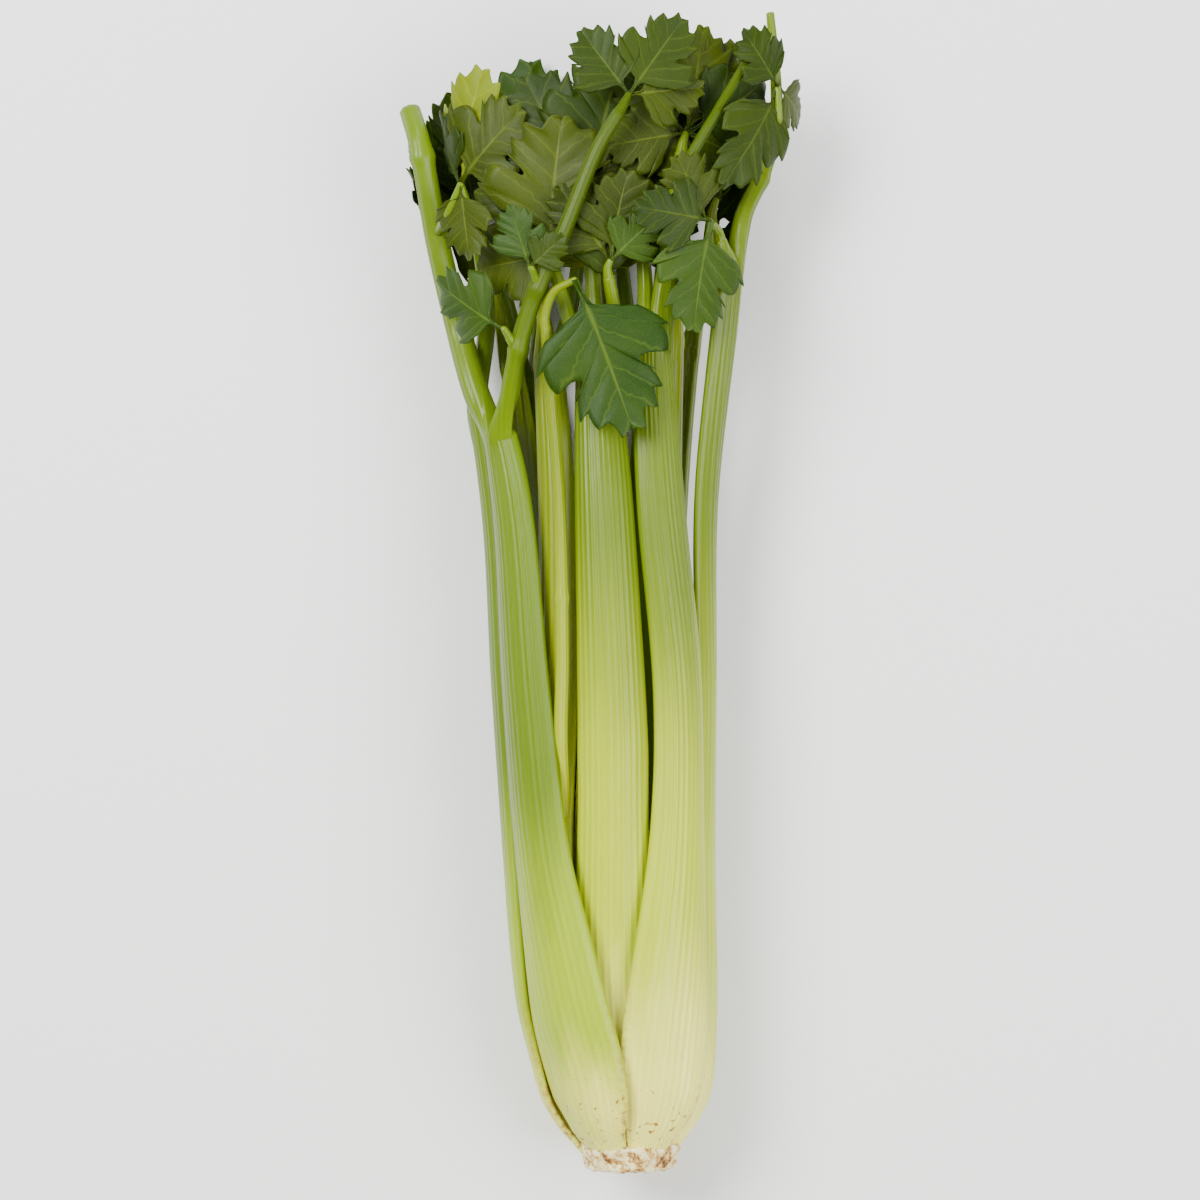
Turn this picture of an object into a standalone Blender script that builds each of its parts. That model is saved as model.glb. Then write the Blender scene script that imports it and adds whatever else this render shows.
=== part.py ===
"""A head of celery lying on its side: root end at -Y, leaves at +Y, front of the head up (+Z).

Every ribbed stalk grows from a short root plate and forks below the leaves. The toothed leaflets sit
in sprays at the ends of the forks. The crown of leaves is pressed into layers round the head, so each
fork and leaflet is placed by its bearing round the head, its height above the root end, and its depth
inside the head's outer skin. Lengths are in metres and angles in degrees.
"""

import math

import bmesh
import bpy
from mathutils import Vector

# The head's outer skin: height, middle across, half width, half depth, middle above the surface
SKIN = (
    (0.000, 0.0100, 0.0125, 0.0118, 0.0330),
    (0.007, 0.0092, 0.0162, 0.0152, 0.0330),
    (0.013, 0.0085, 0.0212, 0.0198, 0.0330),
    (0.022, 0.0084, 0.0266, 0.0247, 0.0330),
    (0.032, 0.0080, 0.0295, 0.0275, 0.0330),
    (0.058, 0.0055, 0.0335, 0.0310, 0.0330),
    (0.108, 0.0030, 0.0362, 0.0332, 0.0330),
    (0.162, 0.0015, 0.0387, 0.0334, 0.0330),
    (0.225, 0.0000, 0.0410, 0.0334, 0.0330),
    (0.282, -0.0020, 0.0500, 0.0345, 0.0350),
    (0.318, -0.0035, 0.0570, 0.0355, 0.0362),
    (0.350, -0.0020, 0.0650, 0.0355, 0.0362),
    (0.388, -0.0010, 0.0665, 0.0335, 0.0350),
)
TOP_SQUARENESS = 2.2
UNDER_SQUARENESS = 2.8
WIDEST_SHARE = 0.999

# A full-sized stalk's section from foot to fork: share of its length, half width, arc radius, thickness
SECTION = (
    (0.000, 0.0074, 0.0140, 0.0038),
    (0.028, 0.0112, 0.0185, 0.0043),
    (0.064, 0.0152, 0.0240, 0.0050),
    (0.105, 0.0170, 0.0258, 0.0055),
    (0.190, 0.0172, 0.0255, 0.0062),
    (0.30, 0.0156, 0.0215, 0.0066),
    (0.43, 0.0133, 0.0175, 0.0066),
    (0.64, 0.0118, 0.0148, 0.0062),
    (0.85, 0.0103, 0.0124, 0.0060),
    (0.95, 0.0090, 0.0104, 0.0074),
    (1.00, 0.0080, 0.0092, 0.0080),
)
RING_SHARES = (0.0, 0.028, 0.064, 0.105, 0.17, 0.27, 0.41, 0.58, 0.76, 0.92, 1.0)
EDGE_THINNING = 0.55
SETTLED_SHARE = 0.5
RIB_HEIGHT = 0.035

# The leaflet's half outline, for a length of 1: across, along, and the rib point it joins
HALF_LEAFLET = (
    (0.030, 0.00, 0),
    (0.026, 0.15, 1),
    (0.150, 0.25, 1),
    (0.350, 0.32, 1),
    (0.330, 0.41, 2),
    (0.470, 0.50, 2),
    (0.420, 0.68, 3),
    (0.240, 0.66, 3),
    (0.320, 0.80, 3),
    (0.200, 0.82, 4),
    (0.170, 0.94, 4),
)
RIB_POINTS = (0.0, 0.17, 0.33, 0.50, 0.71, 1.0)
RIB_THICKNESS = (0.0022, 0.0018, 0.0015, 0.0012, 0.0010)

GAP = 0.0004
LEAD = 0.0035
STEM_END_RADIUS = 0.0013
FLESH_DEPTH = 0.0042
FORK_STARTS = (0.93, 1.0)
PLATE_PROFILE = (
    (0.0000, 0.0190), (0.0045, 0.0175), (0.0085, 0.0115), (0.0104, 0.0066), (0.0146, 0.0050),
    (0.0160, 0.0034), (0.0152, 0.0012), (0.0105, 0.0000), (0.0000, 0.0010),
)
PLATE_SIDES = 20
LYING_ON = ("stalk_under_right", "stalk_under_left")
FORK_SIDES = 7
STEM_SIDES = 6
UNION_SOLVER = "MANIFOLD"

# Each material's colour and roughness
MATERIALS = {
    "stalk": ((0.46, 0.60, 0.14, 1.0), 0.35),
    "inner_stalk": ((0.62, 0.70, 0.27, 1.0), 0.35),
    "heart": ((0.78, 0.78, 0.42, 1.0), 0.4),
    "leaf": ((0.07, 0.20, 0.025, 1.0), 0.45),
    "pale_leaf": ((0.34, 0.47, 0.03, 1.0), 0.45),
    "root_plate": ((0.78, 0.70, 0.48, 1.0), 0.8),
}


def smooth(rows, x):
    """The values of a smooth curve through rows, whose first number is the place along it."""
    x = min(max(x, rows[0][0]), rows[-1][0])
    last = len(rows) - 1
    i = next(k for k in range(last) if x <= rows[k + 1][0])
    start, end = rows[i], rows[i + 1]
    step = end[0] - start[0]
    t = (x - start[0]) / step

    def slope(k, j):
        low, high = rows[max(k - 1, 0)], rows[min(k + 1, last)]
        return (high[j] - low[j]) / (high[0] - low[0])

    return [
        (2 * t**3 - 3 * t**2 + 1) * start[j]
        + (t**3 - 2 * t**2 + t) * step * slope(i, j)
        + (3 * t**2 - 2 * t**3) * end[j]
        + (t**3 - t**2) * step * slope(i + 1, j)
        for j in range(1, len(start))
    ]


def smooth_route(points, count):
    """count + 1 points evenly along a smooth line through the given ones."""
    rows = [(0.0, *points[0])]
    for before, after in zip(points, points[1:]):
        rows.append((rows[-1][0] + (after - before).length, *after))
    return [Vector(smooth(rows, rows[-1][0] * k / count)) for k in range(count + 1)]


def squareness(bearing):
    return TOP_SQUARENESS if math.sin(math.radians(bearing)) >= 0 else UNDER_SQUARENESS


def on_skin(bearing, height, depth=0.0):
    """The point at that bearing round the head (0 is +X, 90 is up), height and depth."""
    middle, half_width, half_depth, lift = smooth(SKIN, height)
    across, up = math.cos(math.radians(bearing)), math.sin(math.radians(bearing))
    power = squareness(bearing)
    reach = (abs(across) ** power + abs(up) ** power) ** (-1 / power)
    return Vector((
        middle + (half_width - depth) * reach * across,
        height,
        lift + (half_depth - depth) * reach * up,
    ))


def outward(bearing, height, depth=0.0):
    """The skin's own direction outwards there."""
    step = 0.5
    along = on_skin(bearing + step, height, depth) - on_skin(bearing - step, height, depth)
    return Vector((along.z, 0.0, -along.x)).normalized()


def bearing_at(across, height, depth, side=1):
    """The bearing whose point lies at that place across, on the upper (1) or under (-1) side."""
    middle, half_width = smooth(SKIN, height)[:2]
    power = TOP_SQUARENESS if side > 0 else UNDER_SQUARENESS
    share = (across - middle) / (half_width - depth)
    share = max(-WIDEST_SHARE, min(WIDEST_SHARE, share))
    up = (1 - abs(share) ** power) ** (1 / power)
    return math.degrees(math.atan2(side * up, share))


def moved(place, right, up):
    """A (bearing, height, depth) place, moved right and up along the skin by lengths."""
    bearing, height, depth = place

    def arc(angle):
        step = 1.0
        ends = (on_skin(angle + step, height, depth), on_skin(angle - step, height, depth))
        return (ends[0] - ends[1]).length / (2 * step)

    halfway = bearing - right / 2 / arc(bearing)
    return (bearing - right / arc(halfway), height + up, depth)


def steer(place, heading, forward, across=0.0):
    """Moved forward along a heading, in degrees clockwise from +Y as seen from outside."""
    sine, cosine = math.sin(math.radians(heading)), math.cos(math.radians(heading))
    return moved(place, forward * sine + across * cosine, forward * cosine - across * sine)


def make_object(name, points, faces, collection):
    """A closed mesh object with its faces pointing outwards."""
    mesh = bpy.data.meshes.new(name)
    shape = bmesh.new()
    corners = [shape.verts.new(point) for point in points]
    for face in faces:
        shape.faces.new([corners[i] for i in face])
    bmesh.ops.recalc_face_normals(shape, faces=shape.faces)
    shape.to_mesh(mesh)
    shape.free()
    made = bpy.data.objects.new(name, mesh)
    collection.objects.link(made)
    return made


def loft(name, rings, collection):
    """A solid through closed rings of equally many points, capped at both ends."""
    count = len(rings[0])
    points = [point for ring in rings for point in ring]
    faces = []
    for r in range(len(rings) - 1):
        for i in range(count):
            j = (i + 1) % count
            faces.append((r * count + i, r * count + j, (r + 1) * count + j, (r + 1) * count + i))
    last = (len(rings) - 1) * count
    faces.append(tuple(range(count)))
    faces.append(tuple(last + i for i in range(count)))
    return make_object(name, points, faces, collection)


def tube(name, route, radii, sides, collection):
    """A round stem along a route, its radius running from the first to the second of radii."""
    side = None
    rings = []
    for k, centre in enumerate(route):
        ahead = route[min(k + 1, len(route) - 1)] - route[max(k - 1, 0)]
        ahead.normalize()
        guess = side if side is not None else ahead.orthogonal()
        side = (guess - guess.dot(ahead) * ahead).normalized()
        other = ahead.cross(side)
        radius = radii[0] + (radii[1] - radii[0]) * k / (len(route) - 1)
        turns = [2 * math.pi * i / sides for i in range(sides)]
        rings.append([centre + radius * (math.cos(a) * side + math.sin(a) * other) for a in turns])
    return loft(name, rings, collection)


def fuse(body, others):
    """Joins the other objects to body with one Boolean union, and removes them."""
    if not others:
        return body
    group = bpy.data.collections.new("joined")
    bpy.context.scene.collection.children.link(group)
    for other in others:
        for holder in list(other.users_collection):
            holder.objects.unlink(other)
        group.objects.link(other)
    union = body.modifiers.new("union", "BOOLEAN")
    union.operation = "UNION"
    union.operand_type = "COLLECTION"
    union.collection = group
    union.solver = UNION_SOLVER
    bpy.context.view_layer.objects.active = body
    bpy.ops.object.modifier_apply(modifier=union.name)
    for other in others:
        bpy.data.objects.remove(other)
    bpy.data.collections.remove(group)
    return body


def paint(body, slot):
    """Gives all of body that one material."""
    made = bpy.data.materials.get(slot)
    if made is None:
        made = bpy.data.materials.new(slot)
        made.use_nodes = True
        shader = made.node_tree.nodes["Principled BSDF"]
        colour, roughness = MATERIALS[slot]
        shader.inputs["Base Color"].default_value = colour
        shader.inputs["Roughness"].default_value = roughness
        shader.inputs["Metallic"].default_value = 0.0
    body.data.materials.clear()
    body.data.materials.append(made)


def stalk_frame(stalk, share):
    """The stalk's back line there, with its directions outwards and to the right."""
    low, high = stalk["course"][0][0], stalk["course"][-1][0]
    step = 0.004

    def back(at):
        height = low + (high - low) * at
        bearing, depth = smooth(stalk["course"], height)
        return on_skin(bearing, height, depth), bearing, height

    point, bearing, height = back(share)
    ahead = (back(min(share + step, 1))[0] - back(max(share - step, 0))[0]).normalized()
    out = outward(bearing, height)
    out = (out - out.dot(ahead) * ahead).normalized()
    return point, out, ahead.cross(out)


def grown(ends, share):
    """A value that changes from the foot's to the top's over the stalk's lower part."""
    return ends[0] + (ends[1] - ends[0]) * min(share / SETTLED_SHARE, 1.0)


def stalk_ring(stalk, share, outer_count, inner_count):
    """One cross-section: a ribbed outer arc and a smooth inner arc, thinner towards the edges."""
    point, out, right = stalk_frame(stalk, share)
    size, tilt = grown(stalk["size"], share), grown(stalk["tilt"], share)
    half_width, radius, thickness = (value * size for value in smooth(SECTION, share))
    reach = math.asin(half_width / radius)
    lean = math.tan(math.radians(tilt))
    ring = []
    for count, inside in ((outer_count, False), (inner_count, True)):
        for i in range(count):
            across = 2 * i / (count - 1) - 1
            across = -across if inside else across
            angle = reach * across
            if inside:
                arc = radius - thickness * (1 - EDGE_THINNING * across**2)
            else:
                arc = radius + (RIB_HEIGHT * half_width if i % 2 else -RIB_HEIGHT * half_width / 2)
            side = arc * math.sin(angle)
            ring.append(point + side * right + (arc * math.cos(angle) - radius + lean * side) * out)
    return ring


def fork_route(stalk, fork):
    """The line of one fork: from inside the stalk's top, out of it, and on through its places."""
    starts = []
    size = stalk["size"][1]
    if fork["side"] is not None:
        for share in FORK_STARTS:
            point, out, right = stalk_frame(stalk, share)
            starts.append(point - FLESH_DEPTH * size * out + fork["side"] * size * right)
    return smooth_route(starts + [on_skin(*place) for place in fork["places"]], fork["steps"])


def make_stalk(stalk, collection):
    """A stalk with its forks as one solid."""
    rings = [stalk_ring(stalk, share, stalk["ribs"] * 2 + 1, 4) for share in RING_SHARES]
    body = loft(stalk["name"], rings, collection)
    forks = []
    for k, fork in enumerate(stalk["forks"]):
        name = f"{stalk['name']}_fork_{k}"
        forks.append(tube(name, fork_route(stalk, fork), fork["radii"], FORK_SIDES, collection))
    fuse(body, forks)
    paint(body, stalk["slot"])
    return body


def leaflet_solid(name, place, heading, length, fold, collection):
    """One leaflet: thick along its rib, sharp at its toothed edge, bent with the head's skin."""

    def at(across, along, lift):
        along, across = along * length, across * length
        bearing, height, depth = steer(place, heading, along, across)
        return on_skin(bearing, height, depth - fold * abs(across) - lift)

    points, faces = [], []
    for along, thickness in zip(RIB_POINTS, RIB_THICKNESS):
        points.append(at(0, along, thickness / 2))
        points.append(at(0, along, -thickness / 2))
    tip = len(points)
    points.append(at(0, 1, 0))
    for side in (1, -1):
        start = len(points)
        points.extend(at(side * across, along, 0) for across, along, _ in HALF_LEAFLET)
        for under in (0, 1):
            for k, (_, _, rib) in enumerate(HALF_LEAFLET):
                here = start + k
                if k + 1 == len(HALF_LEAFLET):
                    faces.append((2 * rib + under, here, tip))
                    continue
                next_rib = HALF_LEAFLET[k + 1][2]
                faces.append((2 * rib + under, here, here + 1))
                if next_rib != rib:
                    faces.append((2 * rib + under, here + 1, 2 * next_rib + under))
    first_edge = tip + 1
    faces.append((0, first_edge, 1, first_edge + len(HALF_LEAFLET)))
    return make_object(name, points, faces, collection)


def make_spray(spray, stalk, collection):
    """The leaflets at the end of one fork, on their own short stem, as one solid."""
    fork_line = fork_route(stalk, stalk["forks"][spray["fork"]])
    ahead = (fork_line[-1] - fork_line[-2]).normalized()
    points = [fork_line[-1] + GAP * ahead, fork_line[-1] + LEAD * ahead]
    points += [on_skin(*place) for place in spray["places"]]
    route = smooth_route(points, 2 + 2 * len(spray["places"]))
    end_radius = stalk["forks"][spray["fork"]]["radii"][1]
    body = tube(spray["name"], route, (end_radius, STEM_END_RADIUS), STEM_SIDES, collection)
    leaflets = []
    bearing, height, depth = spray["places"][-1]
    for k, (heading, length, deeper, fold) in enumerate(spray["leaflets"]):
        place = (bearing, height, depth + deeper)
        name = f"{spray['name']}_{k}"
        leaflets.append(leaflet_solid(name, place, heading, length, fold, collection))
    fuse(body, leaflets)
    paint(body, spray["slot"])
    return body


def make_crown(collection):
    """The root plate: a turned disc with a cone inside the stalks, trimmed flat at its end."""
    middle, _, _, lift = smooth(SKIN, 0.0)
    mesh = bpy.data.meshes.new("crown")
    shape = bmesh.new()
    corners = [shape.verts.new((radius, 0.0, height)) for radius, height in PLATE_PROFILE]
    for before, after in zip(corners, corners[1:]):
        shape.edges.new((before, after))
    shape.to_mesh(mesh)
    shape.free()
    crown = bpy.data.objects.new("crown", mesh)
    collection.objects.link(crown)
    crown.location = (middle, 0.0, lift)
    crown.rotation_euler = (math.radians(-90), 0.0, 0.0)
    turn = crown.modifiers.new("turn", "SCREW")
    turn.axis = "Z"
    turn.steps = turn.render_steps = PLATE_SIDES
    turn.use_merge_vertices = True
    turn.merge_threshold = 0.0001
    turn.use_normal_calculate = True
    bpy.context.view_layer.objects.active = crown
    bpy.ops.object.modifier_apply(modifier=turn.name)
    paint(crown, "root_plate")
    return crown


def flatten_under(body):
    """Cuts body off at the surface it lies on, and closes the cut with flat faces."""
    shape = bmesh.new()
    shape.from_mesh(body.data)
    everything = shape.verts[:] + shape.edges[:] + shape.faces[:]
    bmesh.ops.bisect_plane(
        shape, geom=everything, plane_co=(0, 0, 0), plane_no=(0, 0, -1), clear_outer=True
    )
    bmesh.ops.edgeloop_fill(shape, edges=[edge for edge in shape.edges if edge.is_boundary])
    bmesh.ops.recalc_face_normals(shape, faces=shape.faces)
    shape.to_mesh(body.data)
    shape.free()


def centre_over_origin(things):
    """Moves everything so that the middle of the whole head's underside is the origin."""
    bpy.context.view_layer.update()
    corners = [thing.matrix_world @ vertex.co for thing in things for vertex in thing.data.vertices]
    low = Vector(min(corner[axis] for corner in corners) for axis in range(3))
    high = Vector(max(corner[axis] for corner in corners) for axis in range(3))
    for thing in things:
        thing.location -= Vector(((low.x + high.x) / 2, (low.y + high.y) / 2, low.z))


def over(across, height, depth):
    """A place on the upper side, by how far across it lies."""
    return (bearing_at(across, height, depth), height, depth)


def under(across, height, depth):
    """A place on the under side, by how far across it lies."""
    return (bearing_at(across, height, depth, -1), height, depth)


def fork(side, radii, *places, steps=5):
    return {"side": side, "radii": radii, "places": places, "steps": steps}


def stalk(name, size, ribs, tilt, course, forks, slot="stalk"):
    return {
        "name": name, "size": size, "ribs": ribs, "tilt": tilt, "course": course, "forks": forks,
        "slot": slot,
    }


def spray(name, stalk_name, fork_number, places, leaflets, slot="leaf"):
    return {
        "name": name, "stalk": stalk_name, "fork": fork_number, "places": places,
        "leaflets": leaflets, "slot": slot,
    }


# A stalk: its size at foot and top, half its rib count, its tilt at foot and top, its course (height,
# bearing, depth), and its forks (offset in the flesh, radii, places). A spray: the fork it ends, the
# places its stem runs on through, and the leaflets at its tip (heading, length, depth, fold)
STALKS = [
    stalk("stalk_left", (0.98, 1.0), 6, (15, 3), (
        (0.0060, 118, 0.0), (0.032, 121, 0.0), (0.070, 128, 0.0), (0.108, 136, 0.0),
        (0.162, 140, 0.0), (0.225, 143, 0.0), (0.245, 146, 0.001)), [
        fork(-0.0040, (0.0048, 0.0036), over(-0.0430, 0.266, 0.0045), over(-0.0480, 0.284, 0.0045),
             over(-0.0545, 0.312, 0.0042), over(-0.0600, 0.343, 0.0040), over(-0.0650, 0.356, 0.0036)),
        fork(0.0040, (0.0036, 0.0022), over(-0.0280, 0.270, 0.0030), over(-0.0225, 0.290, 0.0030),
             over(-0.0120, 0.313, 0.0030), over(-0.0010, 0.340, 0.0030), over(0.0060, 0.352, 0.0030),
             steps=6),
        fork(None, (0.0018, 0.0015), over(-0.0275, 0.2745, 0.0030), over(-0.0300, 0.2785, 0.0000),
             steps=2),
        fork(None, (0.0016, 0.0013), over(-0.0200, 0.2950, 0.0030), over(-0.0215, 0.2985, 0.0000),
             steps=2),
        fork(None, (0.0018, 0.0014), over(-0.0550, 0.3140, 0.0042), over(-0.0510, 0.3190, 0.0000),
             steps=2),
    ]),
    stalk("stalk_right", (0.86, 0.86), 6, (13, 0), (
        (0.0060, 66, 0.0), (0.032, 62, 0.0), (0.070, 52, 0.0), (0.108, 45, 0.0),
        (0.162, 46, 0.0), (0.225, 56, 0.0020), (0.275, 60, 0.0080)), [
        fork(-0.0040, (0.0034, 0.0022), over(0.0150, 0.298, 0.0190), over(0.0130, 0.320, 0.0190)),
        fork(0.0, (0.0034, 0.0022), over(0.0215, 0.302, 0.0150), over(0.0270, 0.340, 0.0125)),
        fork(0.0040, (0.0026, 0.0014), over(0.0250, 0.306, 0.0080), over(0.0285, 0.334, 0.0035),
             over(0.0380, 0.352, 0.0015), over(0.0545, 0.380, 0.0000), steps=6),
    ]),
    stalk("stalk_far_right", (0.82, 0.80), 6, (18, 3), (
        (0.0060, 11, 0.0), (0.032, 7, 0.0), (0.070, 2, 0.0), (0.108, 0, 0.0005),
        (0.162, 4, 0.0010), (0.225, 14, 0.0008), (0.300, 24, 0.0)), [
        fork(0.0030, (0.0040, 0.0014), over(0.0480, 0.320, 0.0045), over(0.0550, 0.334, 0.0040),
             over(0.0595, 0.350, 0.0040), over(0.0590, 0.366, 0.0050), over(0.0570, 0.388, 0.0060),
             steps=7),
        fork(-0.0030, (0.0030, 0.0020), over(0.0400, 0.311, 0.0030)),
        fork(None, (0.0022, 0.0016), over(0.0585, 0.3450, 0.0040), over(0.0590, 0.3500, 0.0000),
             steps=2),
    ]),
    stalk("stalk_middle", (0.62, 0.95), 6, (3, 0), (
        (0.0180, 92, 0.0090), (0.032, 92, 0.0090), (0.070, 90, 0.0085), (0.108, 87, 0.0050),
        (0.150, 86, 0.0015), (0.225, 88, 0.0025), (0.265, 89, 0.0090)), [
        fork(-0.0040, (0.0034, 0.0022), over(-0.0100, 0.284, 0.0115), over(-0.0150, 0.300, 0.0110)),
        fork(0.0, (0.0036, 0.0022), over(-0.0020, 0.290, 0.0170), over(-0.0040, 0.324, 0.0170)),
        fork(0.0040, (0.0034, 0.0020), over(0.0050, 0.284, 0.0110), over(0.0030, 0.298, 0.0080)),
    ]),
    stalk("stalk_under_right", (0.98, 0.98), 5, (15, 3), (
        (0.0060, 304, 0.0), (0.032, 301, 0.0), (0.070, 300, 0.0), (0.108, 298, -0.0008),
        (0.162, 297, -0.0012), (0.225, 297, -0.0006), (0.250, 297, 0.0020)), [
        fork(0.0040, (0.0034, 0.0022), under(0.0100, 0.285, 0.0150), under(0.0070, 0.310, 0.0180)),
        fork(0.0, (0.0034, 0.0022), under(0.0200, 0.290, 0.0090), under(0.0230, 0.322, 0.0090)),
        fork(-0.0040, (0.0034, 0.0022), under(0.0320, 0.285, 0.0050), under(0.0380, 0.312, 0.0040)),
    ]),
    stalk("stalk_under_left", (0.98, 0.98), 5, (15, 3), (
        (0.0060, 247, 0.0), (0.032, 246, 0.0), (0.070, 245, 0.0), (0.108, 244, -0.0008),
        (0.162, 243, -0.0012), (0.225, 243, -0.0006), (0.262, 243, 0.0020)), [
        fork(-0.0040, (0.0034, 0.0022), under(-0.0100, 0.292, 0.0110), under(-0.0060, 0.318, 0.0130)),
        fork(0.0, (0.0034, 0.0022), under(-0.0200, 0.296, 0.0050), under(-0.0220, 0.330, 0.0050)),
        fork(0.0040, (0.0034, 0.0022), under(-0.0310, 0.290, 0.0080), under(-0.0390, 0.316, 0.0085)),
    ]),
    stalk("stalk_far_left", (0.84, 0.88), 5, (18, 3), (
        (0.0060, 189, 0.0), (0.032, 192, 0.0), (0.070, 196, 0.0), (0.108, 198, 0.0),
        (0.162, 198, 0.0), (0.225, 198, 0.0), (0.256, 198, 0.0010)), [
        fork(0.0030, (0.0036, 0.0022), (176, 0.285, 0.0145), over(-0.0400, 0.308, 0.0165),
             over(-0.0440, 0.322, 0.0145)),
        fork(-0.0030, (0.0034, 0.0022), (204, 0.285, 0.0030), (208, 0.308, 0.0030)),
    ]),
    stalk("inner_stalk_left", (0.56, 0.66), 3, (8, 3), (
        (0.0180, 160, 0.0095), (0.032, 159, 0.0095), (0.070, 153, 0.0105), (0.108, 142, 0.0105),
        (0.162, 126, 0.0095), (0.225, 119, 0.0090), (0.270, 118, 0.0130)), [
        fork(None, (0.0024, 0.0018), (125, 0.120, 0.0125), over(-0.0130, 0.145, 0.0060),
             over(-0.0125, 0.175, 0.0040), over(-0.0135, 0.222, 0.0035), over(-0.0165, 0.262, 0.0030),
             over(-0.0180, 0.282, 0.0025), steps=8),
        fork(0.0, (0.0026, 0.0020), over(-0.0200, 0.300, 0.0210), over(-0.0220, 0.320, 0.0220)),
    ], "inner_stalk"),
    stalk("inner_stalk_right", (0.56, 0.66), 3, (8, 3), (
        (0.0180, 20, 0.0090), (0.032, 18, 0.0090), (0.070, 17, 0.0100), (0.108, 19, 0.0105),
        (0.162, 24, 0.0105), (0.225, 34, 0.0110), (0.278, 34, 0.0160)), [
        fork(0.0, (0.0026, 0.0020), (26, 0.304, 0.0225), (16, 0.326, 0.0235)),
    ], "inner_stalk"),
    stalk("inner_stalk_under_right", (0.60, 0.64), 3, (8, 3), (
        (0.0180, 316, 0.0095), (0.032, 313, 0.0095), (0.070, 315, 0.0105), (0.108, 321, 0.0105),
        (0.162, 330, 0.0110), (0.225, 333, 0.0100), (0.275, 335, 0.0120)), [
        fork(0.0, (0.0026, 0.0020), (340, 0.300, 0.0145), (346, 0.320, 0.0160)),
    ], "inner_stalk"),
    stalk("inner_stalk_under", (0.52, 0.70), 4, (4, 3), (
        (0.0180, 273, 0.0120), (0.032, 273, 0.0125), (0.070, 272, 0.0125), (0.108, 271, 0.0100),
        (0.162, 270, 0.0060), (0.225, 270, 0.0045), (0.278, 270, 0.0060)), [
        fork(0.0, (0.0026, 0.0020), under(0.0010, 0.302, 0.0200), under(0.0000, 0.322, 0.0220)),
    ], "inner_stalk"),
    stalk("inner_stalk_under_left", (0.60, 0.64), 3, (8, 3), (
        (0.0180, 218, 0.0090), (0.032, 217, 0.0090), (0.070, 216, 0.0100), (0.108, 215, 0.0105),
        (0.162, 214, 0.0110), (0.225, 216, 0.0110), (0.270, 216, 0.0130)), [
        fork(0.0, (0.0026, 0.0020), (213, 0.298, 0.0155), (210, 0.318, 0.0160)),
    ], "inner_stalk"),
    stalk("heart", (0.42, 0.38), 3, (0, 0), (
        (0.0260, 130, 0.0190), (0.070, 128, 0.0200), (0.108, 120, 0.0210), (0.162, 105, 0.0220),
        (0.225, 96, 0.0230), (0.250, 95, 0.0240)), [
        fork(0.0, (0.0020, 0.0015), (92, 0.270, 0.0280), (90, 0.292, 0.0300)),
    ], "heart"),
]

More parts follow.
